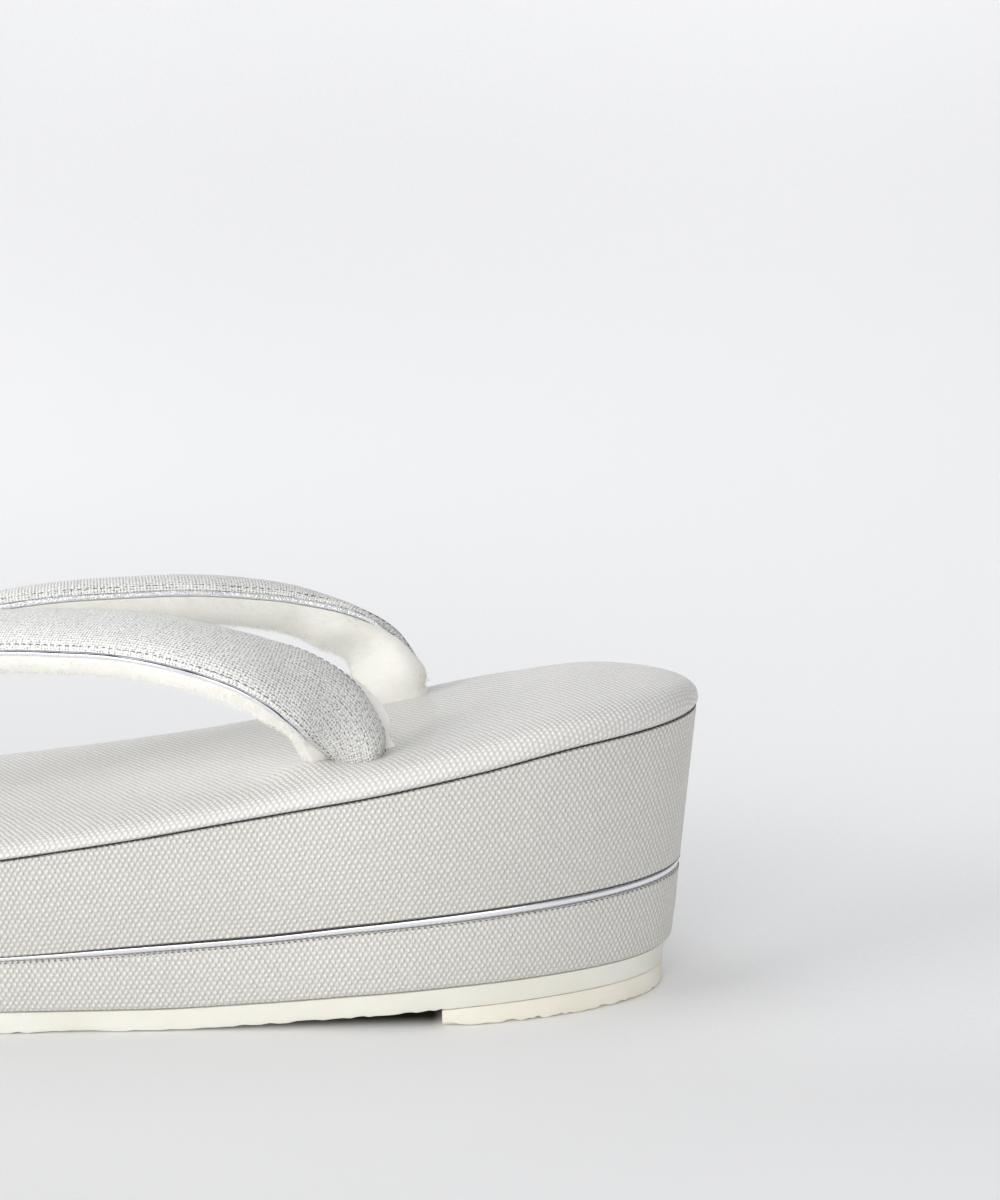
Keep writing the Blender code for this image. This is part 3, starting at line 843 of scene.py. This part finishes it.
def build_lower_core(material):
    def top(from_heel):
        return silver_bottom(from_heel) - 0.12 * MM + 0.4 * band_cover(from_heel)

    def middle(from_heel):
        return 0.5 * (core_bottom(from_heel) + top(from_heel))

    rows = [(core_bottom, 0.0, 2.2), (core_bottom, 0.0, 1.3)]
    for step in range(1, 5):
        angle = 0.5 * math.pi * step / 4
        rows.append((core_bottom, 1.3 * (1.0 - math.cos(angle)), 1.3 * (1.0 - math.sin(angle))))
    rows += [(middle, 0.0, -0.15), (top, -0.45, 0.0), (top, -0.14, 0.1)]
    rows += [(top, 0.0, 0.4), (top, -0.1, 1.6)]
    item = smooth_object("lower_core_wrap", layer_mesh(wall_rings(rows)), material)
    belongs(item, "pale_canvas", "lower_core")


def build_upper_core(material):
    def bottom(from_heel):
        return silver_top(from_heel) + 0.2 * MM - band_cover(from_heel)

    top = shifted(seam_height, -0.12 * MM)
    rings = wall_rings((
        (bottom, 0.1, 1.6), (bottom, 0.0, 0.4), (bottom, 0.14, 0.1), (bottom, 0.45, 0.0),
        (top, -0.8, 0.0), (top, -0.25, 0.1), (top, 0.0, 0.5), (top, -0.3, 1.8),
    ))
    item = smooth_object("upper_core_wrap", layer_mesh(rings), material)
    belongs(item, "pale_canvas", "upper_core")


def build_silver_layer(material):
    def level(share):
        return lambda from_heel: silver_bottom(from_heel) + share * silver_thickness(from_heel)

    rings = wall_rings([(level(share), 0.0, inset) for share, inset in SILVER_SECTION])
    item = smooth_object("silver_band", layer_mesh(rings), material)
    belongs(item, "silver_trim", "silver_layer")


def build_band_shade_cord(material):
    """Thin dark cord where the wrapping folds in over the silver band; it is painted shade, put
    where the wrapping's edge shades the band.
    """
    spots = []
    path = wall_ring(shifted(silver_top, LINE_RISE), LINE_INSET)
    for point, out in zip(path, outline_outs()):
        away = (0.5 * SOLE_LENGTH - point.x - LINE_SWELL_PLACE) / LINE_SWELL_REACH
        spots.append((point, out, LINE_RADIUS * (0.8 + LINE_SWELL * math.exp(-away * away))))
    mesh_data = bmesh.new()
    levels = []
    for step in range(6):
        angle = math.pi * step / 3
        rise = UP * (math.cos(angle) - 0.6)
        levels.append([
            mesh_data.verts.new(point + rise * radius + out * radius * math.sin(angle))
            for point, out, radius in spots
        ])
    skin(mesh_data, levels + levels[:1])
    belongs(smooth_object("band_shade_cord", mesh_data, material), "silver_trim")


def dimple(point):
    """How far the seat is drawn down, or puffed up, beside the straps and the toe loop."""
    sink = 0.0
    for from_heel, out, flat, reach, depth in SEAT_SINKS:
        x = 0.5 * SOLE_LENGTH - from_heel * MM
        away = math.hypot(point.x - x, (point.y - out * MM) * 1.15)
        near = max(away - flat * MM, 0.0) / (reach * MM)
        sink += depth * MM * math.exp(-near * near)
    return sink


def build_cushion(material):
    count = len(CUSHION_EDGE) - 1
    rows = list(range(count + 1))
    inset_of = curve_through(rows, [row[0] * MM for row in CUSHION_EDGE])
    share_of = curve_through(rows, [row[1] for row in CUSHION_EDGE])

    def height_for(share):
        return lambda from_heel: (
            seam_height(from_heel) + 0.12 * MM + share * cushion_crown(from_heel)
        )

    rings = []
    for step in range(count * EDGE_FINENESS + 1):
        t = step / EDGE_FINENESS
        rings.append(level_ring(lambda along, t=t: inset_of(t), height_for(share_of(t))))
    rolled = len(rings)
    for step in range(1, CROWN_STEPS):
        toward = step / CROWN_STEPS
        height_at = height_for(0.89 + 0.11 * math.sin(0.5 * math.pi * min(toward * 1.25, 1.0)))
        ring = []
        for along, out, along_normal, out_normal, _ in OUTLINE:
            edge_along = along + along_normal * CUSHION_ROLL
            edge_out = out + out_normal * CUSHION_ROLL
            spine = min(max(edge_along, SPINE_INSET), SOLE_LENGTH - SPINE_INSET)
            from_heel = edge_along + (spine - edge_along) * toward
            ring.append(place(from_heel, edge_out * (1.0 - toward), height_at(from_heel)))
        rings.append(ring)
    for row, ring in enumerate(rings):
        fade = min(max((row - 8) / (rolled - 8), 0.0), 1.0)
        for point in ring:
            swell = noise.noise(Vector((point.x * 45.0, point.y * 45.0, 2.0)))
            point.z += fade * (0.12 * MM * swell - dimple(point))
    uvs = [[flat_uv(point) for point in ring] for ring in rings]
    for row in range(rolled - 2, -1, -1):
        for i, (point, inner) in enumerate(zip(rings[row], rings[row + 1])):
            length = (point - inner).length
            u, v = uvs[row + 1][i]
            uvs[row][i] = (
                u + OUTLINE[i][2] * length / PEARL_PITCH,
                v - OUTLINE[i][3] * length / PEARL_ROW,
            )
    mesh_data = capped(rings, [row + row[:1] for row in uvs])
    item = smooth_object("seat_pad", mesh_data, material)
    belongs(item, "pale_canvas", "seat_cushion", fill=0.9)


# Stitches
def capsule(mesh_data, middle, direction, side, length, radius):
    across = direction.cross(side).normalized()
    side = across.cross(direction).normalized()
    sections = ((-0.5, 0.35), (-0.36, 0.9), (0.0, 1.0), (0.36, 0.9), (0.5, 0.35))
    rings = []
    for share, swell in sections:
        ring = []
        for step in range(6):
            angle = math.pi * step / 3
            spoke = side * math.cos(angle) + across * math.sin(angle)
            spot = middle + direction * (share * length) + spoke * (radius * swell)
            ring.append(mesh_data.verts.new(spot))
        rings.append(ring)
    skin(mesh_data, rings)
    mesh_data.faces.new(rings[0])
    mesh_data.faces.new(rings[-1])


def stitch_row(name, path, sides, stitch, material, slot):
    pitch, length, radius = stitch
    rng = random.Random(name)
    mesh_data = bmesh.new()
    total = sum((b - a).length for a, b in zip(path, path[1:]))
    pitch = total / round(total / pitch)
    target = 0.5 * pitch
    walked = 0.0
    for i in range(len(path) - 1):
        step = (path[i + 1] - path[i]).length
        while target <= walked + step and step > 0.0:
            t = (target - walked) / step
            middle = path[i].lerp(path[i + 1], t)
            side = sides[i].lerp(sides[i + 1], t)
            direction = (path[i + 1] - path[i]).normalized()
            direction = (direction + side * rng.uniform(-0.05, 0.05)).normalized()
            size = length * rng.uniform(0.88, 1.1)
            capsule(mesh_data, middle, direction, side, size, radius)
            target += pitch
        walked += step
    belongs(smooth_object(name, mesh_data, material), slot)


def outline_outs():
    return [Vector((spot[2], -spot[3], 0.0)) for spot in OUTLINE]


def build_wall_stitches(dark, grey):
    def above(from_heel):
        return silver_top(from_heel) + 0.3 * MM - band_cover(from_heel)

    below = shifted(silver_bottom, -0.3 * MM)
    outs = outline_outs()
    for name, height_at, inset, stitch, material in (
        ("seam_thread", seam_height, 0.22 * MM, SEAM_STITCH, dark),
        ("upper_edge_thread", above, 0.06 * MM, EDGE_STITCH, grey),
        ("lower_edge_thread", below, 0.06 * MM, EDGE_STITCH, grey),
    ):
        ring = wall_ring(height_at, inset)
        stitch_row(name, ring + ring[:1], outs + outs[:1], stitch, material, "pale_canvas")


# Strap frames along the path
def blend_four(a, b, c, d, t):
    first = -0.5 * t + t * t - 0.5 * t ** 3
    second = 1.0 - 2.5 * t * t + 1.5 * t ** 3
    third = 0.5 * t + 2.0 * t * t - 1.5 * t ** 3
    fourth = -0.5 * t * t + 0.5 * t ** 3
    return a * first + b * second + c * third + d * fourth


def slope_four(a, b, c, d, t):
    first = -0.5 + 2.0 * t - 1.5 * t * t
    second = -5.0 * t + 4.5 * t * t
    third = 0.5 + 4.0 * t - 4.5 * t * t
    fourth = -t + 1.5 * t * t
    return a * first + b * second + c * third + d * fourth


def mirrored(point):
    return Vector((point.x, -point.y, point.z))


def make_frame(point, tangent, width, lean):
    upward = (UP - tangent * UP.dot(tangent)).normalized()
    outward = upward.cross(tangent)
    normal = upward * math.cos(lean) + outward * math.sin(lean)
    across = outward * math.cos(lean) - upward * math.sin(lean)
    return point, across, normal, width


def side_frames(root_set):
    """Frames of one strap, from its buried end to the front bend, on the near side."""
    nodes = []
    for i, (from_heel, out, rise, width, lean) in enumerate(STRAP_PATH):
        height = seam_height(from_heel * MM) + rise * MM
        if i < len(root_set):
            from_heel += root_set[i][0]
            out -= root_set[i][1]
            lean += root_set[i][2]
        nodes.append((place(from_heel * MM, -out * MM, height), width * MM, math.radians(lean)))
    lead = (2.0 * nodes[0][0] - nodes[1][0], nodes[0][1], nodes[0][2])
    tail = (mirrored(nodes[-2][0]), nodes[-2][1], nodes[-2][2])
    chain = [lead] + nodes + [tail]
    frames = []
    for i in range(len(nodes) - 1):
        quad = chain[i: i + 4]
        for step in range(PATH_STEPS):
            t = step / PATH_STEPS
            point = blend_four(*[node[0] for node in quad], t)
            tangent = slope_four(*[node[0] for node in quad], t).normalized()
            width = blend_four(*[node[1] for node in quad], t)
            lean = blend_four(*[node[2] for node in quad], t)
            frames.append(make_frame(point, tangent, width, lean))
    point, width, lean = nodes[-1]
    frames.append(make_frame(point, Vector((0.0, 1.0, 0.0)), width, lean))
    return frames


def strap_frames():
    frames = side_frames(NEAR_ROOT_SET)
    for point, across, normal, width in reversed(side_frames(FAR_ROOT_SET)[:-1]):
        frames.append((mirrored(point), mirrored(across), mirrored(normal), width))
    return frames


FRAMES = strap_frames()
HALF_FRAMES = len(FRAMES) // 2 + 1


def travelled(frames):
    walked = [0.0]
    for before, after in zip(frames, frames[1:]):
        walked.append(walked[-1] + (after[0] - before[0]).length)
    return walked


WALKED = travelled(FRAMES)


def from_end(index):
    """Distance along the strap from its nearer buried end."""
    return min(WALKED[index], WALKED[-1] - WALKED[index])


def side_of(index):
    return 0 if index < HALF_FRAMES else 1


def root_share(index):
    """1 where the strap goes into the seat, 0 along its free length."""
    return 1.0 - smooth(from_end(index), ROOT_START, ROOT_END)


def drawn_in(index, turn):
    """Share of the full section left where the strap is drawn into the seat."""
    left = 1.0 - min(max((from_end(index) - ROOT_CONTACT) / turn[0], 0.0), 1.0)
    return turn[1] + (1.0 - turn[1]) * math.sqrt(1.0 - left * left)


def cover_form(half_width, index):
    """Half width, rise and power of the cover's section."""
    root = root_share(index)
    half = half_width * (1.0 - ROOT_COVER_NARROWING * root)
    rise = COVER_RISE * depth_share(half_width) * (1.0 + ROOT_COVER_SWELL * root)
    rise *= 0.4 + 0.6 * drawn_in(index, COVER_HEEL_TURN)
    return half, rise, POWER + (1.0 - POWER) * root


def bend_fold(index):
    """Crease and puff of the soft lining inside the bend above the seat."""
    walked = from_end(index)
    crease = math.exp(-((walked - CREASE_PLACE) / CREASE_LENGTH) ** 2)
    puff = math.exp(-((walked - PUFF_PLACE) / PUFF_LENGTH) ** 2)
    return PUFF_HEIGHT * puff - CREASE_DEPTH[side_of(index)] * MM * crease


def lining_form(half_width, index):
    """Half width, drop, power and shelf of the lining's section."""
    root = root_share(index)
    half = half_width - 0.35 * MM + ROOT_LINING_SPREAD * root
    shelf = LINING_SHELF * (1.0 - 0.75 * root)
    drop = LINING_DROP * depth_share(half_width) - shelf + bend_fold(index)
    drop *= 0.4 + 0.6 * drawn_in(index, LINING_HEEL_TURN)
    return half, drop, POWER + (ROOT_LINING_POWER - POWER) * root, shelf


def toe_share(shares, index):
    """Change of the toe side's width at the root and in the far bend."""
    share = 1.0 + shares[side_of(index)] * root_share(index)
    if side_of(index):
        bend = (from_end(index) - FAR_BEND_PLACE) / (1.5 * CREASE_LENGTH)
        share -= FAR_BEND_NARROWING * math.exp(-bend * bend)
    return share


def lining_show(index):
    side = side_of(index)
    share = 1.0 - smooth(from_end(index), SHOW_END, SHOW_START[side])
    return LINING_SHOW[side] * share / (0.4 * FULL_STRAP_WIDTH)


def drawn_point(w, n, index, toe_turn, heel_turn, shares, show=0.0):
    """Draws in a point of the section, across by w and up by n, near the seat."""
    if w > 0.0:
        n -= ROOT_TOE_SINK * root_share(index) * w / (0.5 * FULL_STRAP_WIDTH)
        return w * drawn_in(index, toe_turn) * toe_share(shares, index), n
    return w * (1.0 + show) * drawn_in(index, heel_turn), n


def cover_point(w, n, index):
    return drawn_point(w, n, index, COVER_TOE_TURN, COVER_HEEL_TURN, ROOT_COVER_SHIFT)


def lining_point(w, n, index):
    show = lining_show(index)
    return drawn_point(w, n, index, LINING_TOE_TURN, LINING_HEEL_TURN, ROOT_LINING_SHIFT, show)


def swept_object(name, section, material):
    """Sweeps a section along the strap; its cloth map counts threads."""
    rings = [
        [point + across * w + normal * n for w, n in section(0.5 * width, index)]
        for index, (point, across, normal, width) in enumerate(FRAMES)
    ]
    uvs = []
    for ring, walked in zip(rings, WALKED):
        along = walked / THREAD_PITCH
        around = 0.0
        row = [(along, around)]
        for before, after in zip(ring, ring[1:] + ring[:1]):
            around += (after - before).length
            row.append((along, around / THREAD_PITCH))
        uvs.append(row)
    return smooth_object(name, closed_loft(rings, uvs), material, 60.0)


def rounded(angle, half_width, depth, power):
    w = math.copysign(abs(math.cos(angle)) ** power, math.cos(angle))
    n = math.copysign(abs(math.sin(angle)) ** power, math.sin(angle))
    return w * half_width, n * depth


def depth_share(half_width):
    return THIN_SHARE + (1.0 - THIN_SHARE) * 2.0 * half_width / FULL_STRAP_WIDTH


POWER = 2.0 / SECTION_ROUNDNESS


def pucker(index, angle):
    """Small gathers of the cloth beside the stitched edges."""
    edge = abs(math.cos(angle)) ** 3
    wave = noise.noise(Vector((index * 0.23, angle * 1.5, 5.0)))
    return 0.14 * MM * edge * wave


def cover_section(half_width, index):
    half, rise, power = cover_form(half_width, index)
    points = []
    steps = 34
    for step in range(steps + 1):
        angle = math.pi * step / steps
        w, n = rounded(angle, half, rise, power)
        lift = pucker(index, angle)
        points.append((w * (1.0 + lift / half), n + lift))
    inner = half - 0.55 * MM
    points.append((-inner, -COVER_LIP * 0.55))
    points.append((-inner + 0.8 * MM, -COVER_LIP * 0.4))
    points.append((inner - 0.8 * MM, -COVER_LIP * 0.4))
    points.append((inner, -COVER_LIP * 0.55))
    return [cover_point(w, n, index) for w, n in points]


def lining_section(half_width, index):
    half, drop, power, shelf = lining_form(half_width, index)
    points = []
    steps = 30
    for step in range(steps + 1):
        angle = -math.pi * step / steps
        w, n = rounded(angle, half, drop, power)
        points.append((w, n - shelf))
    cover_half = cover_form(half_width, index)[0]
    rim = 0.3 * MM * root_share(index)
    points.append((-half + 0.3 * MM, -shelf + rim))
    points.append((-cover_half + 1.3 * MM, -0.5 * MM))
    points.append((cover_half - 1.3 * MM, -0.5 * MM))
    points.append((half - 0.3 * MM, -shelf + rim))
    return [lining_point(w, n, index) for w, n in points]


def piping_section(side):
    def section(half_width, index):
        root = root_share(index)
        edge, level = cover_point(side * cover_form(half_width, index)[0], 0.0, index)
        middle = abs(edge) - PIPING_INSET - 0.8 * MM * root
        radius = PIPING_RADIUS * (1.0 - 0.4 * root)
        drop = (PIPING_DROP if side > 0.0 else INNER_PIPING_DROP) + 0.9 * MM * root
        points = []
        for step in range(16):
            angle = 2.0 * math.pi * step / 16
            w = side * (middle + radius * math.cos(angle))
            points.append((w, level + radius * math.sin(angle) - drop))
        return points

    return section


def build_straps(weave, velvet, edging, cord):
    cover = swept_object("strap_cover_cloth", cover_section, weave)
    belongs(cover, "silver_cloth", "strap_cover", fill=0.85)
    lining = swept_object("strap_lining_velvet", lining_section, velvet)
    belongs(lining, "ivory_velvet", "strap_lining", fill=0.85)
    for name, side, look in (("outer", 1.0, edging), ("inner", -1.0, cord)):
        piping = swept_object(name + "_piping_cord", piping_section(side), look)
        belongs(piping, "silver_trim", name + "_piping")


def build_strap_stitches(material):
    for name, side in (("outer", 1.0), ("inner", -1.0)):
        points = []
        outs = []
        for index, (point, across, normal, width) in enumerate(FRAMES):
            half, rise, power = cover_form(0.5 * width, index)
            w, n = rounded(STITCH_ANGLE * math.pi, half, rise, power)
            w, n = cover_point(side * w, n, index)
            points.append(point + across * w + normal * n)
            outs.append((across * side + normal).normalized())
        stitch_row(name + "_strap_thread", points, outs, STRAP_STITCH, material, "silver_cloth")


def frame_between(i, t):
    """The strap's frame at the share t of the way from frame i to the next."""
    return [FRAMES[i][k] * (1.0 - t) + FRAMES[i + 1][k] * t for k in range(4)]


def build_nap(material):
    """Short pile of the velvet, as thin blades standing on the lining."""
    rng = random.Random(41)
    mesh_data = bmesh.new()
    blades = NAP_BLADES
    for _ in range(blades):
        position = rng.uniform(PATH_STEPS, len(FRAMES) - 1 - PATH_STEPS)
        index = int(position)
        point, across, normal, width = frame_between(index, position - index)
        half, drop, power, shelf = lining_form(0.5 * width, index)
        angle = -math.pi * rng.random()
        if rng.random() < 0.4:
            angle = -abs(rng.gauss(0.0, 0.3))
            if rng.random() < 0.5:
                angle = -math.pi - angle
        w, n = rounded(angle, half, drop, power)
        spread = Vector((math.cos(angle) / half, math.sin(angle) / drop)).normalized()
        outward = (across * spread.x + normal * spread.y).normalized()
        along = across.cross(normal)
        w, n = lining_point(w, n - shelf, index)
        root = point + across * w + normal * n
        tilt = along * rng.uniform(-0.45, 0.45)
        tilt += Vector([rng.uniform(-0.35, 0.35) for _ in range(3)])
        direction = (outward + tilt).normalized()
        length = rng.uniform(0.4, 1.0) * MM
        side = direction.cross(Vector([rng.uniform(-1.0, 1.0) for _ in range(3)])).normalized()
        half_blade = side * 0.035 * MM
        tip = root + direction * length
        base = root - outward * 0.1 * MM
        spots = (base - half_blade, base + half_blade, tip)
        mesh_data.faces.new([mesh_data.verts.new(spot) for spot in spots])
    belongs(mesh_object("velvet_nap", mesh_data, material), "ivory_velvet")


# Toe loop
def envelope(half_width, margin, angle):
    wide = half_width + PIPING_RADIUS - PIPING_INSET + margin
    depth = (COVER_RISE if math.sin(angle) >= 0.0 else LINING_DROP) * depth_share(half_width)
    return rounded(angle, wide, depth + margin, POWER)


def frames_about_bend(reach, count):
    frames = []
    for step in range(count + 1):
        target = WALKED[HALF_FRAMES - 1] + reach * (2.0 * step / count - 1.0)
        i = max(k for k in range(len(WALKED) - 1) if WALKED[k] <= target)
        frames.append(frame_between(i, (target - WALKED[i]) / (WALKED[i + 1] - WALKED[i])))
    return frames


def build_toe_loop(weave):
    frames = frames_about_bend(LOOP_HALF_WIDTH, 22)
    sides = 56
    outer_rings = []
    inner_rings = []
    for index, (point, across, normal, width) in enumerate(frames):
        place_share = 2.0 * index / (len(frames) - 1) - 1.0
        swell = max(1.0 - abs(place_share) ** 5, 0.0)
        outer = []
        inner = []
        for step in range(sides):
            angle = 2.0 * math.pi * step / sides
            fold = 0.12 * MM * math.sin(5.0 * place_share * math.pi + 2.0 * math.sin(angle))
            margin = 0.25 * MM + (LOOP_WALL + fold) * (0.35 + 0.65 * swell)
            for ring, room in ((outer, margin), (inner, 0.1 * MM)):
                w, n = envelope(0.5 * width, room, angle)
                ring.append(point + across * w + normal * n)
        outer_rings.append(outer)
        inner_rings.append(inner)

    def uvs(pitch):
        around = [LOOP_THREADS * step / sides for step in range(sides + 1)]
        return [[(u, row * pitch) for u in around] for row in range(len(frames))]

    mesh_data, cloth, outer = lofted(outer_rings, uvs(0.62))
    inner = [[mesh_data.verts.new(point) for point in ring] for ring in inner_rings]
    grid_faces(mesh_data, inner, cloth, uvs(0.62))
    for end in (0, -1):
        grid_faces(mesh_data, [inner[end], outer[end]], cloth, uvs(0.3))
    item = smooth_object("toe_loop_band", mesh_data, weave)
    belongs(item, "silver_cloth", "toe_loop", fill=0.8)


def build_toe_stem(weave):
    point, across, normal, width = FRAMES[HALF_FRAMES - 1]
    drop = LINING_DROP * depth_share(0.5 * width)
    top = point - normal * (drop + 0.25 * MM + 0.5 * LOOP_WALL)
    from_heel = 0.5 * SOLE_LENGTH - top.x
    seat = seam_height(from_heel) + cushion_crown(from_heel)
    low = seat - STEM_DEPTH
    rings = []
    uvs = []
    sides = 48
    steps = 26
    for row in range(steps + 1):
        t = row / steps
        height = low + (top.z - low) * t
        waist = 1.0 - 0.1 * math.sin(math.pi * t) + 0.08 * max(t - 0.85, 0.0) / 0.15
        ring = []
        for step in range(sides):
            angle = 2.0 * math.pi * step / sides
            wave = math.sin(7.0 * angle + 1.3 * math.sin(4.0 * t))
            size = waist * (1.0 + 0.035 * wave * math.sin(math.pi * t))
            forward, sideways = rounded(angle, STEM_HALF_LENGTH, STEM_HALF_WIDTH, 0.9)
            lift = forward * size * across.z / across.x * t
            ring.append(Vector((top.x + forward * size, sideways * size, height + lift)))
        rings.append(ring)
        up = (height - low) / THREAD_PITCH
        uvs.append([(STEM_THREADS * step / sides, up) for step in range(sides + 1)])
    item = smooth_object("toe_stem_cloth", closed_loft(rings, uvs), weave)
    belongs(item, "silver_cloth", "toe_loop", fill=0.9)


# Stage
def build_backdrop(material):
    """Pale sheet that lies flat under the sandal and rises slowly behind it."""
    mesh_data = bmesh.new()
    half = 3.0
    profile = [(-2.5, 0.0)]
    for step in range(SWEEP_STEPS + 1):
        t = step / SWEEP_STEPS
        profile.append((SWEEP_START + SWEEP_LENGTH * t, SWEEP_RISE * t ** 3))
    left = [mesh_data.verts.new((-half, y, z)) for y, z in profile]
    right = [mesh_data.verts.new((half, y, z)) for y, z in profile]
    for i in range(len(profile) - 1):
        mesh_data.faces.new((left[i], right[i], right[i + 1], left[i + 1]))
    smooth_object("backdrop", mesh_data, material)


def add_lights():
    for name, place_at, aim, size, power, tint in LIGHTS:
        light = bpy.data.lights.new(name, "AREA")
        light.shape = "RECTANGLE"
        light.size, light.size_y = size
        light.energy = power
        light.color = tint
        item = linked(name, light)
        item.location = place_at
        direction = Vector(aim) - Vector(place_at)
        item.rotation_euler = direction.to_track_quat("-Z", "Y").to_euler()
    world = bpy.data.worlds.new("studio")
    bpy.context.scene.world = world
    world.use_nodes = True
    background = world.node_tree.nodes["Background"]
    background.inputs["Color"].default_value = colour(0.95, 0.97, 1.0)
    background.inputs["Strength"].default_value = WORLD_STRENGTH


def add_camera():
    yaw = math.radians(CAMERA_YAW)
    pitch = math.radians(CAMERA_PITCH)
    roll = math.radians(CAMERA_ROLL)
    level = Vector((math.sin(yaw), math.cos(yaw), 0.0))
    forward = level * math.cos(pitch) - UP * math.sin(pitch)
    right = Vector((math.cos(yaw), -math.sin(yaw), 0.0))
    up = right.cross(forward)
    turned_right = right * math.cos(roll) + up * math.sin(roll)
    turned_up = up * math.cos(roll) - right * math.sin(roll)
    data = bpy.data.cameras.new("camera")
    data.lens = CAMERA_LENS
    data.sensor_width = SENSOR
    data.sensor_fit = "AUTO"
    data.clip_start = 0.01
    data.clip_end = 20.0
    item = linked("camera", data)
    matrix = Matrix((turned_right, turned_up, -forward)).transposed().to_4x4()
    matrix.translation = CAMERA_PLACE
    item.matrix_world = matrix
    bpy.context.scene.camera = item


def set_tone():
    bpy.context.scene.view_settings.view_transform = "Standard"


def build():
    canvas = canvas_material("canvas", (1.0, 1.0, 1.0), 0.28 * MM)
    seat_canvas = canvas_material("seat_canvas", (1.05, 1.055, 1.08), 0.16 * MM)
    weave = cloth_of_silver_material()
    foil = foil_material("silver_foil")
    edging = foil_material("silver_edging", fold=PIPING_PAINTED_SHADE)
    cord = foil_material("silver_cord", crush=0.5 * MM)
    velvet = velvet_material()
    rubber = rubber_material(
        "outsole_rubber", colour(0.82, 0.81, 0.745), colour(0.78, 0.765, 0.675), 0.05 * MM
    )
    lift = rubber_material(
        "lift_rubber", colour(0.89, 0.855, 0.77), colour(0.83, 0.79, 0.675), 0.08 * MM
    )
    dark_thread_and_shade = thread_material("seam_thread_and_shade_dark", (0.035, 0.03, 0.03))
    grey_thread = thread_material("edge_thread_grey", (0.2, 0.2, 0.2))
    strap_thread = thread_material("strap_thread_dark", (0.09, 0.09, 0.1))

    build_outsole(rubber)
    build_heel_lift(lift)
    build_lower_core(canvas)
    build_silver_layer(foil)
    build_band_shade_cord(dark_thread_and_shade)
    build_upper_core(canvas)
    build_cushion(seat_canvas)
    build_wall_stitches(dark_thread_and_shade, grey_thread)
    build_straps(weave, velvet, edging, cord)
    build_strap_stitches(strap_thread)
    build_nap(velvet)
    build_toe_loop(weave)
    build_toe_stem(weave)

    build_backdrop(backdrop_material())
    add_lights()
    add_camera()
    set_tone()


build()
